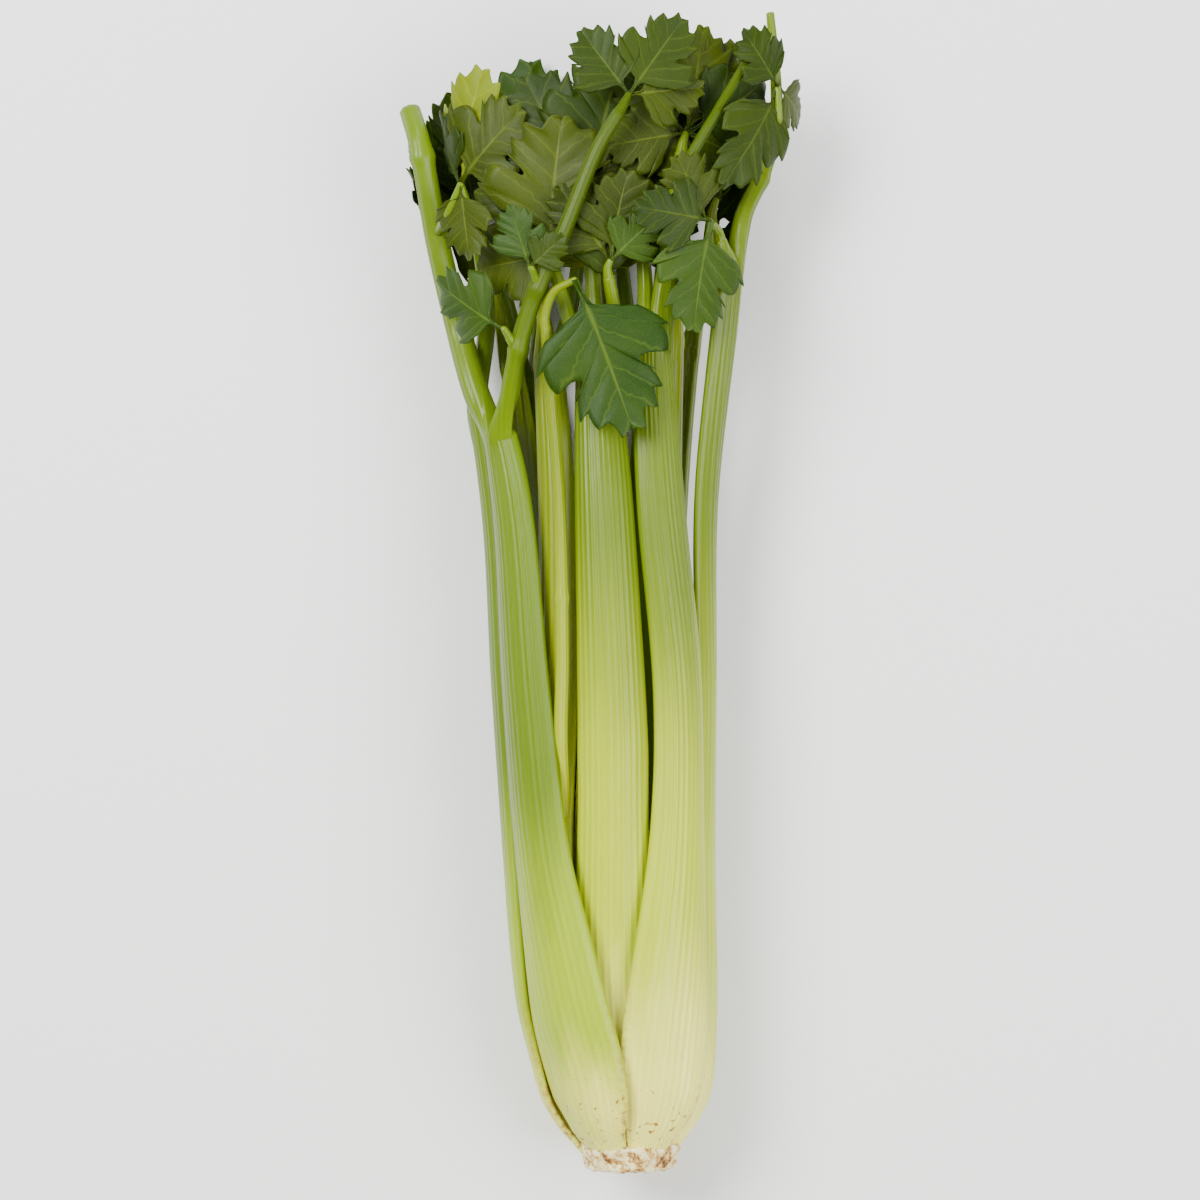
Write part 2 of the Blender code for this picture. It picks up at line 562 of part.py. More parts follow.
SPRAYS = [
    spray("leaves_fan", "stalk_left", 1, [over(0.0095, 0.3585, 0.0030)], [
        (34, 0.031, 0.0, 0.08), (-38, 0.027, 0.0005, 0.08),
        (84, 0.027, 0.0010, 0.03)]),
    spray("leaf_over_left", "stalk_left", 2, [over(-0.0320, 0.2810, -0.0020)], [
        (-56, 0.031, 0.0, -0.05)]),
    spray("leaf_on_fork", "stalk_left", 3, [over(-0.0230, 0.3010, -0.0020)], [
        (-12, 0.021, 0.0, 0.0), (50, 0.016, -0.0006, 0.0)]),
    spray("leaf_left_front", "stalk_left", 4, [over(-0.0460, 0.3290, -0.0020)], [
        (182, 0.025, 0.0, 0.03)], "pale_leaf"),
    spray("leaf_hanging", "inner_stalk_left", 0,
          [over(-0.0150, 0.2935, 0.0010), over(-0.0080, 0.2970, -0.0015)], [
              (160, 0.053, -0.0010, -0.06)]),
    spray("leaves_left", "stalk_far_left", 0, [over(-0.0465, 0.3310, 0.0145)], [
        (16, 0.040, 0.0012, 0.0), (50, 0.038, 0.0, 0.03),
        (-24, 0.027, 0.0, 0.0)]),
    spray("leaves_middle_left", "stalk_middle", 0, [over(-0.0165, 0.3060, 0.0105)], [
        (-38, 0.036, 0.0012, 0.0), (6, 0.046, 0.0, 0.03),
        (60, 0.034, -0.0012, 0.0), (-98, 0.030, 0.0, 0.0)]),
    spray("leaves_middle", "stalk_middle", 1, [over(-0.0045, 0.3310, 0.0165)], [
        (-32, 0.042, 0.0012, 0.0), (12, 0.046, 0.0, 0.03),
        (66, 0.034, -0.0012, 0.0), (-100, 0.030, 0.0004, 0.0),
        (116, 0.021, -0.0010, 0.0)]),
    spray("leaves_middle_right", "stalk_middle", 2, [over(0.0035, 0.3040, 0.0065)], [
        (-34, 0.030, 0.0012, 0.0), (8, 0.030, 0.0, 0.03),
        (44, 0.021, -0.0012, 0.0)]),
    spray("leaves_right_deep", "stalk_right", 0, [over(0.0125, 0.3270, 0.0190)], [
        (-14, 0.036, 0.0012, 0.0), (28, 0.048, 0.0, 0.03),
        (58, 0.018, -0.0012, 0.0), (104, 0.028, 0.0, 0.0)]),
    spray("leaves_right", "stalk_right", 1, [over(0.0285, 0.3470, 0.0120)], [
        (-46, 0.032, 0.0012, 0.0), (6, 0.036, 0.0, 0.03),
        (56, 0.036, -0.0012, 0.0), (30, 0.036, 0.0006, 0.0),
        (108, 0.026, 0.0, 0.0), (-100, 0.028, 0.0006, 0.0)]),
    spray("leaves_far_right", "stalk_far_right", 2, [over(0.0590, 0.3620, -0.0020)], [
        (205, 0.037, 0.0, 0.0), (-40, 0.024, 0.0, 0.0),
        (118, 0.020, -0.0006, 0.0)]),
    spray("leaves_right_low", "stalk_far_right", 1, [over(0.0360, 0.3170, -0.0010)], [
        (188, 0.037, -0.0012, 0.0), (-34, 0.026, 0.0012, 0.0),
        (-82, 0.028, -0.0012, 0.0)]),
    spray("leaves_under_middle", "stalk_under_right", 0, [under(0.0065, 0.3170, 0.0180)], [
        (-30, 0.032, 0.0012, 0.0), (4, 0.048, 0.0, 0.03),
        (50, 0.038, -0.0012, 0.0), (-86, 0.030, 0.0, 0.0)]),
    spray("leaves_under_right", "stalk_under_right", 1, [under(0.0235, 0.3290, 0.0090)], [
        (-48, 0.036, 0.0012, 0.0), (-4, 0.042, 0.0, 0.03),
        (44, 0.038, -0.0012, 0.0), (100, 0.028, 0.0, 0.0)]),
    spray("leaves_under_far_right", "stalk_under_right", 2, [under(0.0390, 0.3190, 0.0040)], [
        (-40, 0.030, 0.0012, 0.0), (-8, 0.044, 0.0, 0.03),
        (48, 0.038, -0.0012, 0.0), (-104, 0.026, 0.0, 0.0)]),
    spray("leaves_under_middle_left", "stalk_under_left", 0, [under(-0.0055, 0.3250, 0.0130)], [
        (-46, 0.036, 0.0012, 0.0), (0, 0.044, 0.0, 0.03),
        (52, 0.036, -0.0012, 0.0), (104, 0.028, 0.0, 0.0)]),
    spray("leaves_under_left", "stalk_under_left", 1, [under(-0.0225, 0.3370, 0.0050)], [
        (-52, 0.036, 0.0012, 0.0), (2, 0.040, 0.0, 0.03),
        (40, 0.030, -0.0012, 0.0), (-100, 0.028, 0.0, 0.0)]),
    spray("leaves_under_far_left", "stalk_under_left", 2, [under(-0.0410, 0.3230, 0.0090)], [
        (-40, 0.034, 0.0012, 0.0), (8, 0.042, 0.0, 0.03),
        (62, 0.030, -0.0012, 0.0)]),
    spray("leaves_far_left", "stalk_far_left", 1, [(209, 0.3150, 0.0030)], [
        (-50, 0.032, 0.0012, 0.0), (-6, 0.040, 0.0, 0.03),
        (32, 0.026, -0.0012, 0.0), (-102, 0.026, 0.0, 0.0)]),
    spray("heart_leaves", "heart", 0, [(90, 0.3000, 0.0310)], [
        (-20, 0.024, 0.0, 0.0), (24, 0.028, 0.0010, 0.0)], "pale_leaf"),
    spray("inner_leaves_left", "inner_stalk_left", 1, [over(-0.0225, 0.3270, 0.0220)], [
        (-28, 0.036, 0.0, 0.0), (30, 0.034, 0.0010, 0.0)]),
    spray("inner_leaves_right", "inner_stalk_right", 0, [(12, 0.3330, 0.0235)], [
        (-8, 0.024, 0.0, 0.0), (26, 0.026, 0.0012, 0.0)]),
    spray("inner_leaves_under_right", "inner_stalk_under_right", 0, [(347, 0.3270, 0.0165)], [
        (-4, 0.024, 0.0, 0.0), (18, 0.025, 0.0012, 0.0)]),
    spray("inner_leaves_under", "inner_stalk_under", 0, [under(0.0000, 0.3290, 0.0220)], [
        (-24, 0.036, 0.0, 0.0), (34, 0.038, 0.0010, 0.0)]),
    spray("inner_leaves_under_left", "inner_stalk_under_left", 0, [(209, 0.3250, 0.0165)], [
        (-30, 0.034, 0.0, 0.0), (8, 0.030, 0.0010, 0.0)]),
]


def clear_scene():
    for thing in list(bpy.data.objects):
        bpy.data.objects.remove(thing)


def main():
    clear_scene()
    head = bpy.data.collections.new("head_of_celery")
    bpy.context.scene.collection.children.link(head)
    make_crown(head)
    stalks = {spec["name"]: spec for spec in STALKS}
    for spec in STALKS:
        made = make_stalk(spec, head)
        if spec["name"] in LYING_ON:
            flatten_under(made)
    for spec in SPRAYS:
        make_spray(spec, stalks[spec["stalk"]], head)
    centre_over_origin(head.objects)


main()
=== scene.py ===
# %% [markdown]
# # A head of celery
#
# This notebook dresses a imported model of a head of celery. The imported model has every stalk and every
# spray of leaves at its real size and place, but its stalks have coarse ribs and its leaflets have few
# teeth. Each of them is replaced by a finer piece that follows the same line.

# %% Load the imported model
import math
import random

import bpy
import numpy as np
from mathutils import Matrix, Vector


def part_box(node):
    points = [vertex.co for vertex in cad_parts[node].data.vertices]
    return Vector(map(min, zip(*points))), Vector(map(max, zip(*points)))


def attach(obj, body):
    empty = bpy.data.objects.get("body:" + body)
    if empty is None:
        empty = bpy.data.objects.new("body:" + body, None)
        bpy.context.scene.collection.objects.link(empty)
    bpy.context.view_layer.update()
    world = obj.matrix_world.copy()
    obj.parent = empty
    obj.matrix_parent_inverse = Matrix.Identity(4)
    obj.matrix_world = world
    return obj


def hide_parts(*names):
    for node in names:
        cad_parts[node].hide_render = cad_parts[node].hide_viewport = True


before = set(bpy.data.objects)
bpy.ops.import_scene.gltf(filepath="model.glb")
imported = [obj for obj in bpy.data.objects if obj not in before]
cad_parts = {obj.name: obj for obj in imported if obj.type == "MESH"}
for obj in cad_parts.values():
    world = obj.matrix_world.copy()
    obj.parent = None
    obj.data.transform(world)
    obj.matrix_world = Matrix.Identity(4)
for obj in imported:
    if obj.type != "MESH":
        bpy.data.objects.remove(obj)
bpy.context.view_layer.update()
print("nodes in the model:", len(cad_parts))

# %% [markdown]
# ## The skin of the head
#
# All the stalks of a head lie inside one rounded outline, as fingers lie in a glove. So places are given
# as growers would point at them: how high above the root, at which bearing round the head, and how deep
# under its outer skin. One table holds the outline, and a smooth curve runs through its rows.

# %% The outline of the head, and where a place on it is
# Height, middle across, half width, half depth, middle above the surface
SKIN = np.array((
    (0.000, 0.0100, 0.0125, 0.0118, 0.0330),
    (0.007, 0.0092, 0.0162, 0.0152, 0.0330),
    (0.013, 0.0085, 0.0212, 0.0198, 0.0330),
    (0.022, 0.0084, 0.0266, 0.0247, 0.0330),
    (0.032, 0.0080, 0.0295, 0.0275, 0.0330),
    (0.058, 0.0055, 0.0335, 0.0310, 0.0330),
    (0.108, 0.0030, 0.0362, 0.0332, 0.0330),
    (0.162, 0.0015, 0.0387, 0.0334, 0.0330),
    (0.225, 0.0000, 0.0410, 0.0334, 0.0330),
    (0.282, -0.0020, 0.0500, 0.0345, 0.0350),
    (0.318, -0.0035, 0.0570, 0.0355, 0.0362),
    (0.350, -0.0020, 0.0650, 0.0355, 0.0362),
    (0.388, -0.0010, 0.0665, 0.0335, 0.0350),
))
TOP_SQUARENESS, UNDER_SQUARENESS = 2.2, 2.8
WIDEST_SHARE = 0.999

crown_low, crown_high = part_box("crown")
SHIFT = np.array((
    (crown_low[0] + crown_high[0]) / 2 - SKIN[0][1],
    crown_low[1],
    (crown_low[2] + crown_high[2]) / 2 - SKIN[0][4],
))


def smooth(rows, x):
    """The values of a smooth curve through rows, whose first number is the place along it."""
    rows = np.asarray(rows, float)
    x = np.clip(np.asarray(x, float), rows[0, 0], rows[-1, 0])
    i = np.clip(np.searchsorted(rows[:, 0], x) - 1, 0, len(rows) - 2)
    slopes = np.gradient(rows[:, 1:], axis=0)
    slopes[1:-1] = (rows[2:, 1:] - rows[:-2, 1:]) / (rows[2:, :1] - rows[:-2, :1])
    slopes[0] = (rows[1, 1:] - rows[0, 1:]) / (rows[1, 0] - rows[0, 0])
    slopes[-1] = (rows[-1, 1:] - rows[-2, 1:]) / (rows[-1, 0] - rows[-2, 0])
    step = (rows[i + 1, 0] - rows[i, 0])[..., None]
    t = (x - rows[i, 0])[..., None] / step
    return (
        (2 * t**3 - 3 * t**2 + 1) * rows[i, 1:] + (t**3 - 2 * t**2 + t) * step * slopes[i]
        + (3 * t**2 - 2 * t**3) * rows[i + 1, 1:] + (t**3 - t**2) * step * slopes[i + 1]
    )


def on_skin(bearing, height, depth=0.0):
    """Points at that bearing round the head (0 is +X, 90 is up), height and depth."""
    bearing, height, depth = np.broadcast_arrays(*(np.asarray(v, float) for v in (bearing, height, depth)))
    middle, half_width, half_depth, lift = np.moveaxis(smooth(SKIN, height), -1, 0)
    across, up = np.cos(np.radians(bearing)), np.sin(np.radians(bearing))
    power = np.where(up >= 0, TOP_SQUARENESS, UNDER_SQUARENESS)
    reach = (np.abs(across) ** power + np.abs(up) ** power) ** (-1 / power)
    return SHIFT + np.stack((
        middle + (half_width - depth) * reach * across, height, lift + (half_depth - depth) * reach * up,
    ), axis=-1)


def outward(bearing, height, depth=0.0):
    """The skin's own direction outwards there."""
    along = on_skin(bearing + 0.5, height, depth) - on_skin(bearing - 0.5, height, depth)
    out = np.stack((along[..., 2], np.zeros_like(along[..., 0]), -along[..., 0]), axis=-1)
    return out / np.linalg.norm(out, axis=-1, keepdims=True)


def over(across, height, depth, side=1):
    """A place on the upper side, given by how far across it lies."""
    middle, half_width = smooth(SKIN, height)[:2]
    power = TOP_SQUARENESS if side > 0 else UNDER_SQUARENESS
    share = np.clip((across - middle) / (half_width - depth), -WIDEST_SHARE, WIDEST_SHARE)
    up = (1 - abs(share) ** power) ** (1 / power)
    return (math.degrees(math.atan2(side * up, share)), height, depth)


def under(across, height, depth):
    """A place on the under side."""
    return over(across, height, depth, -1)


print("front of the head at mid height:", on_skin(90, 0.2).round(4))

# %% [markdown]
# ## Wrapping a grid into a solid
#
# A stalk is a long closed skin with fine ribs. It could be extruded ring by ring, but then every rib
# would have to be drawn again at each ring. A grid is quicker: one direction of the grid runs round the
# stalk and the other runs up it, its own UV map says where each vertex belongs, and the edit-mode
# operators then close the seam and the ends.

# %% Select one object, make a flat grid, place its vertices
def only(thing):
    """Selects one object alone and makes it active."""
    bpy.ops.object.select_all(action="DESELECT")
    thing.select_set(True)
    bpy.context.view_layer.objects.active = thing


def grid(name, across, along):
    """A new flat grid with that many faces each way, and each vertex's column and row in it."""
    bpy.ops.object.select_all(action="DESELECT")
    bpy.ops.mesh.primitive_grid_add(x_subdivisions=across, y_subdivisions=along, size=1)
    made = bpy.context.object
    made.name = made.data.name = name
    shares = vertex_places(made)[:, :2] + 0.5
    return made, np.rint(shares * (across, along)).astype(int)


def vertex_places(thing):
    places = np.empty(len(thing.data.vertices) * 3)
    thing.data.vertices.foreach_get("co", places)
    return places.reshape(-1, 3)


def place_vertices(thing, points):
    thing.data.vertices.foreach_set("co", np.asarray(points, float).ravel())
    thing.data.update()


def mark(thing, name, values):
    """Writes one number for each vertex into a named attribute, for a material to read."""
    thing.data.attributes.new(name, "FLOAT", "POINT").data.foreach_set("value", np.asarray(values, float))


print("helpers for grids: only, grid, vertex_places, place_vertices, mark")


# %% Wrap a grid into a closed tube
DOUBLES = 1e-6


def wrap(name, rings, marks):
    """A closed tube through rings (rings, points round, xyz), both ends filled; marks are attributes."""
    rings = np.asarray(rings)
    along, around = rings.shape[0] - 1, rings.shape[1]
    made, index = grid(name, around, along)
    column, row = index[:, 0] % around, index[:, 1]
    place_vertices(made, rings[row, column])
    for attribute, values in marks.items():
        mark(made, attribute, values[column])
    only(made)
    bpy.ops.object.mode_set(mode="EDIT")
    bpy.ops.mesh.select_all(action="SELECT")
    bpy.ops.mesh.remove_doubles(threshold=DOUBLES)
    bpy.ops.mesh.select_all(action="DESELECT")
    bpy.ops.mesh.select_non_manifold()
    bpy.ops.mesh.fill()
    bpy.ops.mesh.select_all(action="SELECT")
    bpy.ops.mesh.normals_make_consistent(inside=False)
    bpy.ops.object.mode_set(mode="OBJECT")
    bpy.ops.object.shade_smooth()
    return made


def join(name, things):
    """Makes one object of several, under one name."""
    only(things[0])
    for thing in things[1:]:
        thing.select_set(True)
    if len(things) > 1:
        bpy.ops.object.join()
    things[0].name = things[0].data.name = name
    return things[0]


print("a tube's seam is closed where vertices lie within", DOUBLES, "m")

# %% [markdown]
# ## Colours that change up the plant
#
# Light greens a celery stalk. The feet, packed together near the soil, stay cream, and the colour runs
# through pale yellow-green to full green under the leaves. The strings that stand out as ribs are paler
# than the furrows between them. The gradient reads the height on the object, and the ribs read an
# attribute that the mesh carries, so both stay put when the head is turned.

# %% Helpers that build nodes
def feed(socket, value):
    """Gives a socket a value, or links it to the output of another node."""
    if isinstance(value, bpy.types.NodeSocket):
        socket.id_data.links.new(value, socket)
    else:
        socket.default_value = value


def add(nodes, kind, inputs=None, **settings):
    """A shader node of that kind, with its settings, and its inputs fed."""
    node = nodes.new("ShaderNode" + kind)
    for setting, value in settings.items():
        setattr(node, setting, value)
    for socket, value in (inputs or {}).items():
        feed(node.inputs[socket], value)
    return node


def maths(nodes, operation, *numbers):
    """What a Math node makes of some numbers, each of them a value or an output."""
    return add(nodes, "Math", dict(enumerate(numbers)), operation=operation).outputs[0]


def spread(nodes, value, low, high, to_low=0.0, to_high=1.0, curve="LINEAR"):
    """A value between low and high, spread from to_low to to_high."""
    inputs = {"Value": value, "From Min": low, "From Max": high, "To Min": to_low, "To Max": to_high}
    return add(nodes, "MapRange", inputs, interpolation_type=curve).outputs[0]


def mix(nodes, share, first, second, blend="MIX"):
    """The first colour with that share of the second."""
    inputs = {"Factor": share, "A": first, "B": second}
    return add(nodes, "Mix", inputs, data_type="RGBA", blend_type=blend).outputs["Result"]


def place_on_object(nodes):
    return add(nodes, "TexCoord").outputs["Object"]


def noise(nodes, place, scale, detail, roughness=0.5, along=1.0):
    """A cloudy noise; along below 1 draws it out up the plant."""
    if along != 1.0:
        place = add(nodes, "Mapping", {"Vector": place, "Scale": (1.0, along, 1.0)}).outputs[0]
    inputs = {"Vector": place, "Scale": scale, "Detail": detail, "Roughness": roughness}
    return add(nodes, "TexNoise", inputs).outputs["Fac"]


def attribute(nodes, name):
    return add(nodes, "Attribute", attribute_name=name).outputs["Fac"]


def bump(nodes, height, strength, distance):
    """The normals of a surface with that relief."""
    return add(nodes, "Bump", {"Height": height, "Strength": strength, "Distance": distance}).outputs[0]


print("helpers for nodes: feed, add, maths, spread, mix, noise, attribute, bump")


# %% Materials and node groups
FLOAT, COLOUR = "NodeSocketFloat", "NodeSocketColor"


def new_material(name, **constants):
    """A material with those values set on its shader; returns it, its nodes and the shader's inputs."""
    made = bpy.data.materials.new(name)
    made.use_nodes = True
    inputs = made.node_tree.nodes["Principled BSDF"].inputs
    for socket, value in constants.items():
        inputs[socket.replace("_", " ")].default_value = value
    return made, made.node_tree.nodes, inputs


def group(name, inputs, outputs):
    """A node group with those named sockets; returns it, its nodes, what it is given and its results."""
    tree = bpy.data.node_groups.new(name, "ShaderNodeTree")
    for socket, kind, value in inputs:
        tree.interface.new_socket(socket, in_out="INPUT", socket_type=kind).default_value = value
    for socket, kind in outputs:
        tree.interface.new_socket(socket, in_out="OUTPUT", socket_type=kind)
    given, results = tree.nodes.new("NodeGroupInput").outputs, tree.nodes.new("NodeGroupOutput").inputs
    return tree, tree.nodes, given, results


print("a group's sockets are of type", FLOAT, "or", COLOUR)

# %% The flesh colour group
CREAM, YELLOW_GREEN, GREEN = (0.88, 0.82, 0.16, 1), (0.33, 0.44, 0.0, 1), (0.105, 0.170, 0.0, 1)
FURROW_TINT = (0.50, 0.62, 0.20, 1)
ROOT_Y = float(SHIFT[1])
WANDERING = 0.10

flesh, nodes, given, results = group("celery flesh", [
    ("Foot", COLOUR, CREAM), ("Middle", COLOUR, YELLOW_GREEN), ("Top", COLOUR, GREEN),
    ("Greened from", FLOAT, 0.03), ("Fully green at", FLOAT, 0.16), ("Rib contrast", FLOAT, 0.35),
], [("Color", COLOUR), ("Fibres", FLOAT)])
place = place_on_object(nodes)
height = maths(nodes, "ADD", add(nodes, "SeparateXYZ", {0: place}).outputs["Y"], -ROOT_Y)
patches = noise(nodes, place, 45.0, 3.0, along=0.18)
wandered = maths(nodes, "MULTIPLY_ADD", maths(nodes, "SUBTRACT", patches, 0.5), WANDERING, height)
to_middle = spread(nodes, wandered, 0.0, given["Greened from"], curve="SMOOTHERSTEP")
to_top = spread(nodes, wandered, given["Greened from"], given["Fully green at"], curve="SMOOTHSTEP")
lower = mix(nodes, to_middle, given["Foot"], given["Middle"])
upper = mix(nodes, to_top, lower, given["Top"])
fibres = noise(nodes, place, 1500.0, 2.0, along=0.02)
strings = maths(nodes, "MULTIPLY_ADD", attribute(nodes, "rib"), 0.5, fibres)
furrows = maths(nodes, "SUBTRACT", 1.0, spread(nodes, strings, 0.2, 1.0))
share = maths(nodes, "MULTIPLY", furrows, given["Rib contrast"])
feed(results["Color"], mix(nodes, share, upper, FURROW_TINT, "MULTIPLY"))
feed(results["Fibres"], strings)
print("group:", flesh.name, "with", len(nodes), "nodes")

# %% [markdown]
# ## Marks of the harvest
#
# Soil water and knife cuts leave tan lines and small brown specks, but only near the foot. A noise that
# passes a threshold makes separate specks, the edges of the stalks dry to tan where the same noise is
# high, and the height fades both out within a few centimetres.

# %% The specks group
BROWN = (0.30, 0.13, 0.02, 1)
SPECK_THRESHOLD, LOWER_AT_ROOT, SPECK_SOFTNESS = 0.76, 0.18, 0.04
DRIED_RANGE = (0.42, 0.60)

specks, nodes, given, results = group("specks near the foot", [
    ("Color", COLOUR, (1, 1, 1, 1)), ("Fade out at", FLOAT, 0.075), ("Amount", FLOAT, 0.95),
], [("Color", COLOUR)])
place = place_on_object(nodes)
fade_end = maths(nodes, "ADD", given["Fade out at"], ROOT_Y)
low_down = spread(nodes, add(nodes, "SeparateXYZ", {0: place}).outputs["Y"], ROOT_Y, fade_end, 1.0, 0.0)
blots = noise(nodes, place, 420.0, 3.0, 0.65)
threshold = maths(nodes, "SUBTRACT", SPECK_THRESHOLD, maths(nodes, "MULTIPLY", low_down, LOWER_AT_ROOT))
spots = spread(nodes, maths(nodes, "SUBTRACT", blots, threshold), 0.0, SPECK_SOFTNESS)
spots = maths(nodes, "MULTIPLY", spots, given["Amount"])
dried_rim = maths(nodes, "MULTIPLY", attribute(nodes, "edge"), spread(nodes, blots, *DRIED_RANGE))
browned = maths(nodes, "MAXIMUM", spots, maths(nodes, "MULTIPLY", dried_rim, low_down))
feed(results["Color"], mix(nodes, browned, given["Color"], BROWN))
print("group:", specks.name, "with", len(nodes), "nodes")


# %% Stalk materials
def flesh_material(name, foot, middle, top, greened_from, green_at, contrast, gloss=0.24, amount=0.95):
    """Ribbed flesh of three colours and the heights where they change; amount is that of the specks."""
    made, nodes, inputs = new_material(
        name, Roughness=0.33, Specular_IOR_Level=gloss, Subsurface_Weight=0.12,
        Subsurface_Radius=(0.006, 0.008, 0.002), Subsurface_Scale=0.5)
    coloured = add(nodes, "Group", {
        "Foot": foot, "Middle": middle, "Top": top, "Greened from": greened_from,
        "Fully green at": green_at, "Rib contrast": contrast}, node_tree=flesh).outputs
    marked = add(nodes, "Group", {"Color": coloured["Color"], "Amount": amount}, node_tree=specks)
    feed(inputs["Base Color"], marked.outputs["Color"])
    feed(inputs["Normal"], bump(nodes, coloured["Fibres"], 0.25, 0.0003))
    return made


# Foot, middle and top
GREEN_FLESH = (CREAM, YELLOW_GREEN, GREEN)
LIGHT_FLESH = ((0.92, 0.86, 0.19, 1), (0.43, 0.51, 0.0, 1), (0.110, 0.168, 0.0, 1))
INNER_FLESH = ((0.88, 0.83, 0.22, 1), (0.38, 0.43, 0.005, 1), (0.15, 0.20, 0.0, 1))
HEART_FLESH = ((0.88, 0.84, 0.28, 1), (0.58, 0.58, 0.05, 1), (0.40, 0.42, 0.01, 1))
LEAFY_FLESH = (CREAM, GREEN, (0.045, 0.075, 0.0, 1))
green_skin = flesh_material("green stalk", *GREEN_FLESH, 0.055, 0.150, 0.36)
light_skin = flesh_material("light-footed stalk", *LIGHT_FLESH, 0.095, 0.225, 0.32)
pale_skin = flesh_material("inner stalk", *INNER_FLESH, 0.09, 0.25, 0.32)
heart_skin = flesh_material("young pale stalk", *HEART_FLESH, 0.12, 0.34, 0.25)
stem_skin = flesh_material("leafy stem", *LEAFY_FLESH, 0.235, 0.325, 0.36, gloss=0.10)
print("stalk materials:", green_skin.name, light_skin.name, pale_skin.name, heart_skin.name, stem_skin.name)

# %% [markdown]
# ## Stalks
#
# A celery stalk is a gutter: a ribbed back, a smooth hollow front, and thin edges that clasp the stalk
# inside it. It is broad and flat near the root and gets narrow and thick towards the leaves. One table
# gives that section from foot to top, and each stalk's course says how it leans round the head.

# %% The section of a stalk, and where it stands
# Share of the stalk's length, half width, radius of its back, thickness
SECTION = (
    (0.000, 0.0074, 0.0140, 0.0038),
    (0.028, 0.0112, 0.0185, 0.0043),
    (0.064, 0.0152, 0.0240, 0.0050),
    (0.105, 0.0170, 0.0258, 0.0055),
    (0.190, 0.0172, 0.0255, 0.0062),
    (0.30, 0.0156, 0.0215, 0.0066),
    (0.43, 0.0133, 0.0175, 0.0066),
    (0.64, 0.0118, 0.0148, 0.0062),
    (0.85, 0.0103, 0.0124, 0.0060),
    (0.95, 0.0090, 0.0104, 0.0074),
    (1.00, 0.0080, 0.0092, 0.0080),
)
SETTLED_SHARE = 0.5
AHEAD_SHARE = 0.004


def unit(vector):
    return vector / np.linalg.norm(vector)


def grown(ends, share):
    """A value that changes from the foot up and holds from the settled share on."""
    return ends[0] + (ends[1] - ends[0]) * min(share / SETTLED_SHARE, 1.0)


def stalk_frame(stalk, share):
    """The stalk's back line there, with its directions outwards, to the right and ahead."""
    low, high = stalk["course"][0][0], stalk["course"][-1][0]

    def back(at):
        height = low + (high - low) * at
        bearing, depth = smooth(stalk["course"], height)
        return on_skin(bearing, height, depth), bearing, height

    point, bearing, height = back(share)
    ahead = unit(back(min(share + AHEAD_SHARE, 1))[0] - back(max(share - AHEAD_SHARE, 0))[0])
    out = outward(bearing, height)
    out = unit(out - out.dot(ahead) * ahead)
    return point, out, np.cross(ahead, out), ahead


print("half width, back radius and thickness half way up:", smooth(SECTION, 0.5).round(4))


# %% Strings on the back, and rings of points up the stalk
STEPS_PER_RIB, FRONT_POINTS, EDGE_STEPS = 6, 15, 4
WEAKEST_RIB, RIB_SHARPNESS, RIB_HEIGHT, RIB_MIDDLE = 0.25, 1.6, 0.00030, 0.4
RIM_SHARE, DRY_RIM_SHARE = 0.94, 0.80
EDGE_THINNING = 0.55


def rib_profile(count, seed):
    """Heights from 0 to 1 of narrow strings of uneven strength across the back of a stalk."""
    draw = random.Random(seed)
    strengths = [draw.uniform(WEAKEST_RIB, 1.0) for _ in range(count)]
    heights = []
    for i in range(count * STEPS_PER_RIB + 1):
        wave = 0.5 - 0.5 * math.cos(2 * math.pi * i / STEPS_PER_RIB)
        heights.append(strengths[min(i // STEPS_PER_RIB, count - 1)] * wave**RIB_SHARPNESS)
    return np.array(heights)


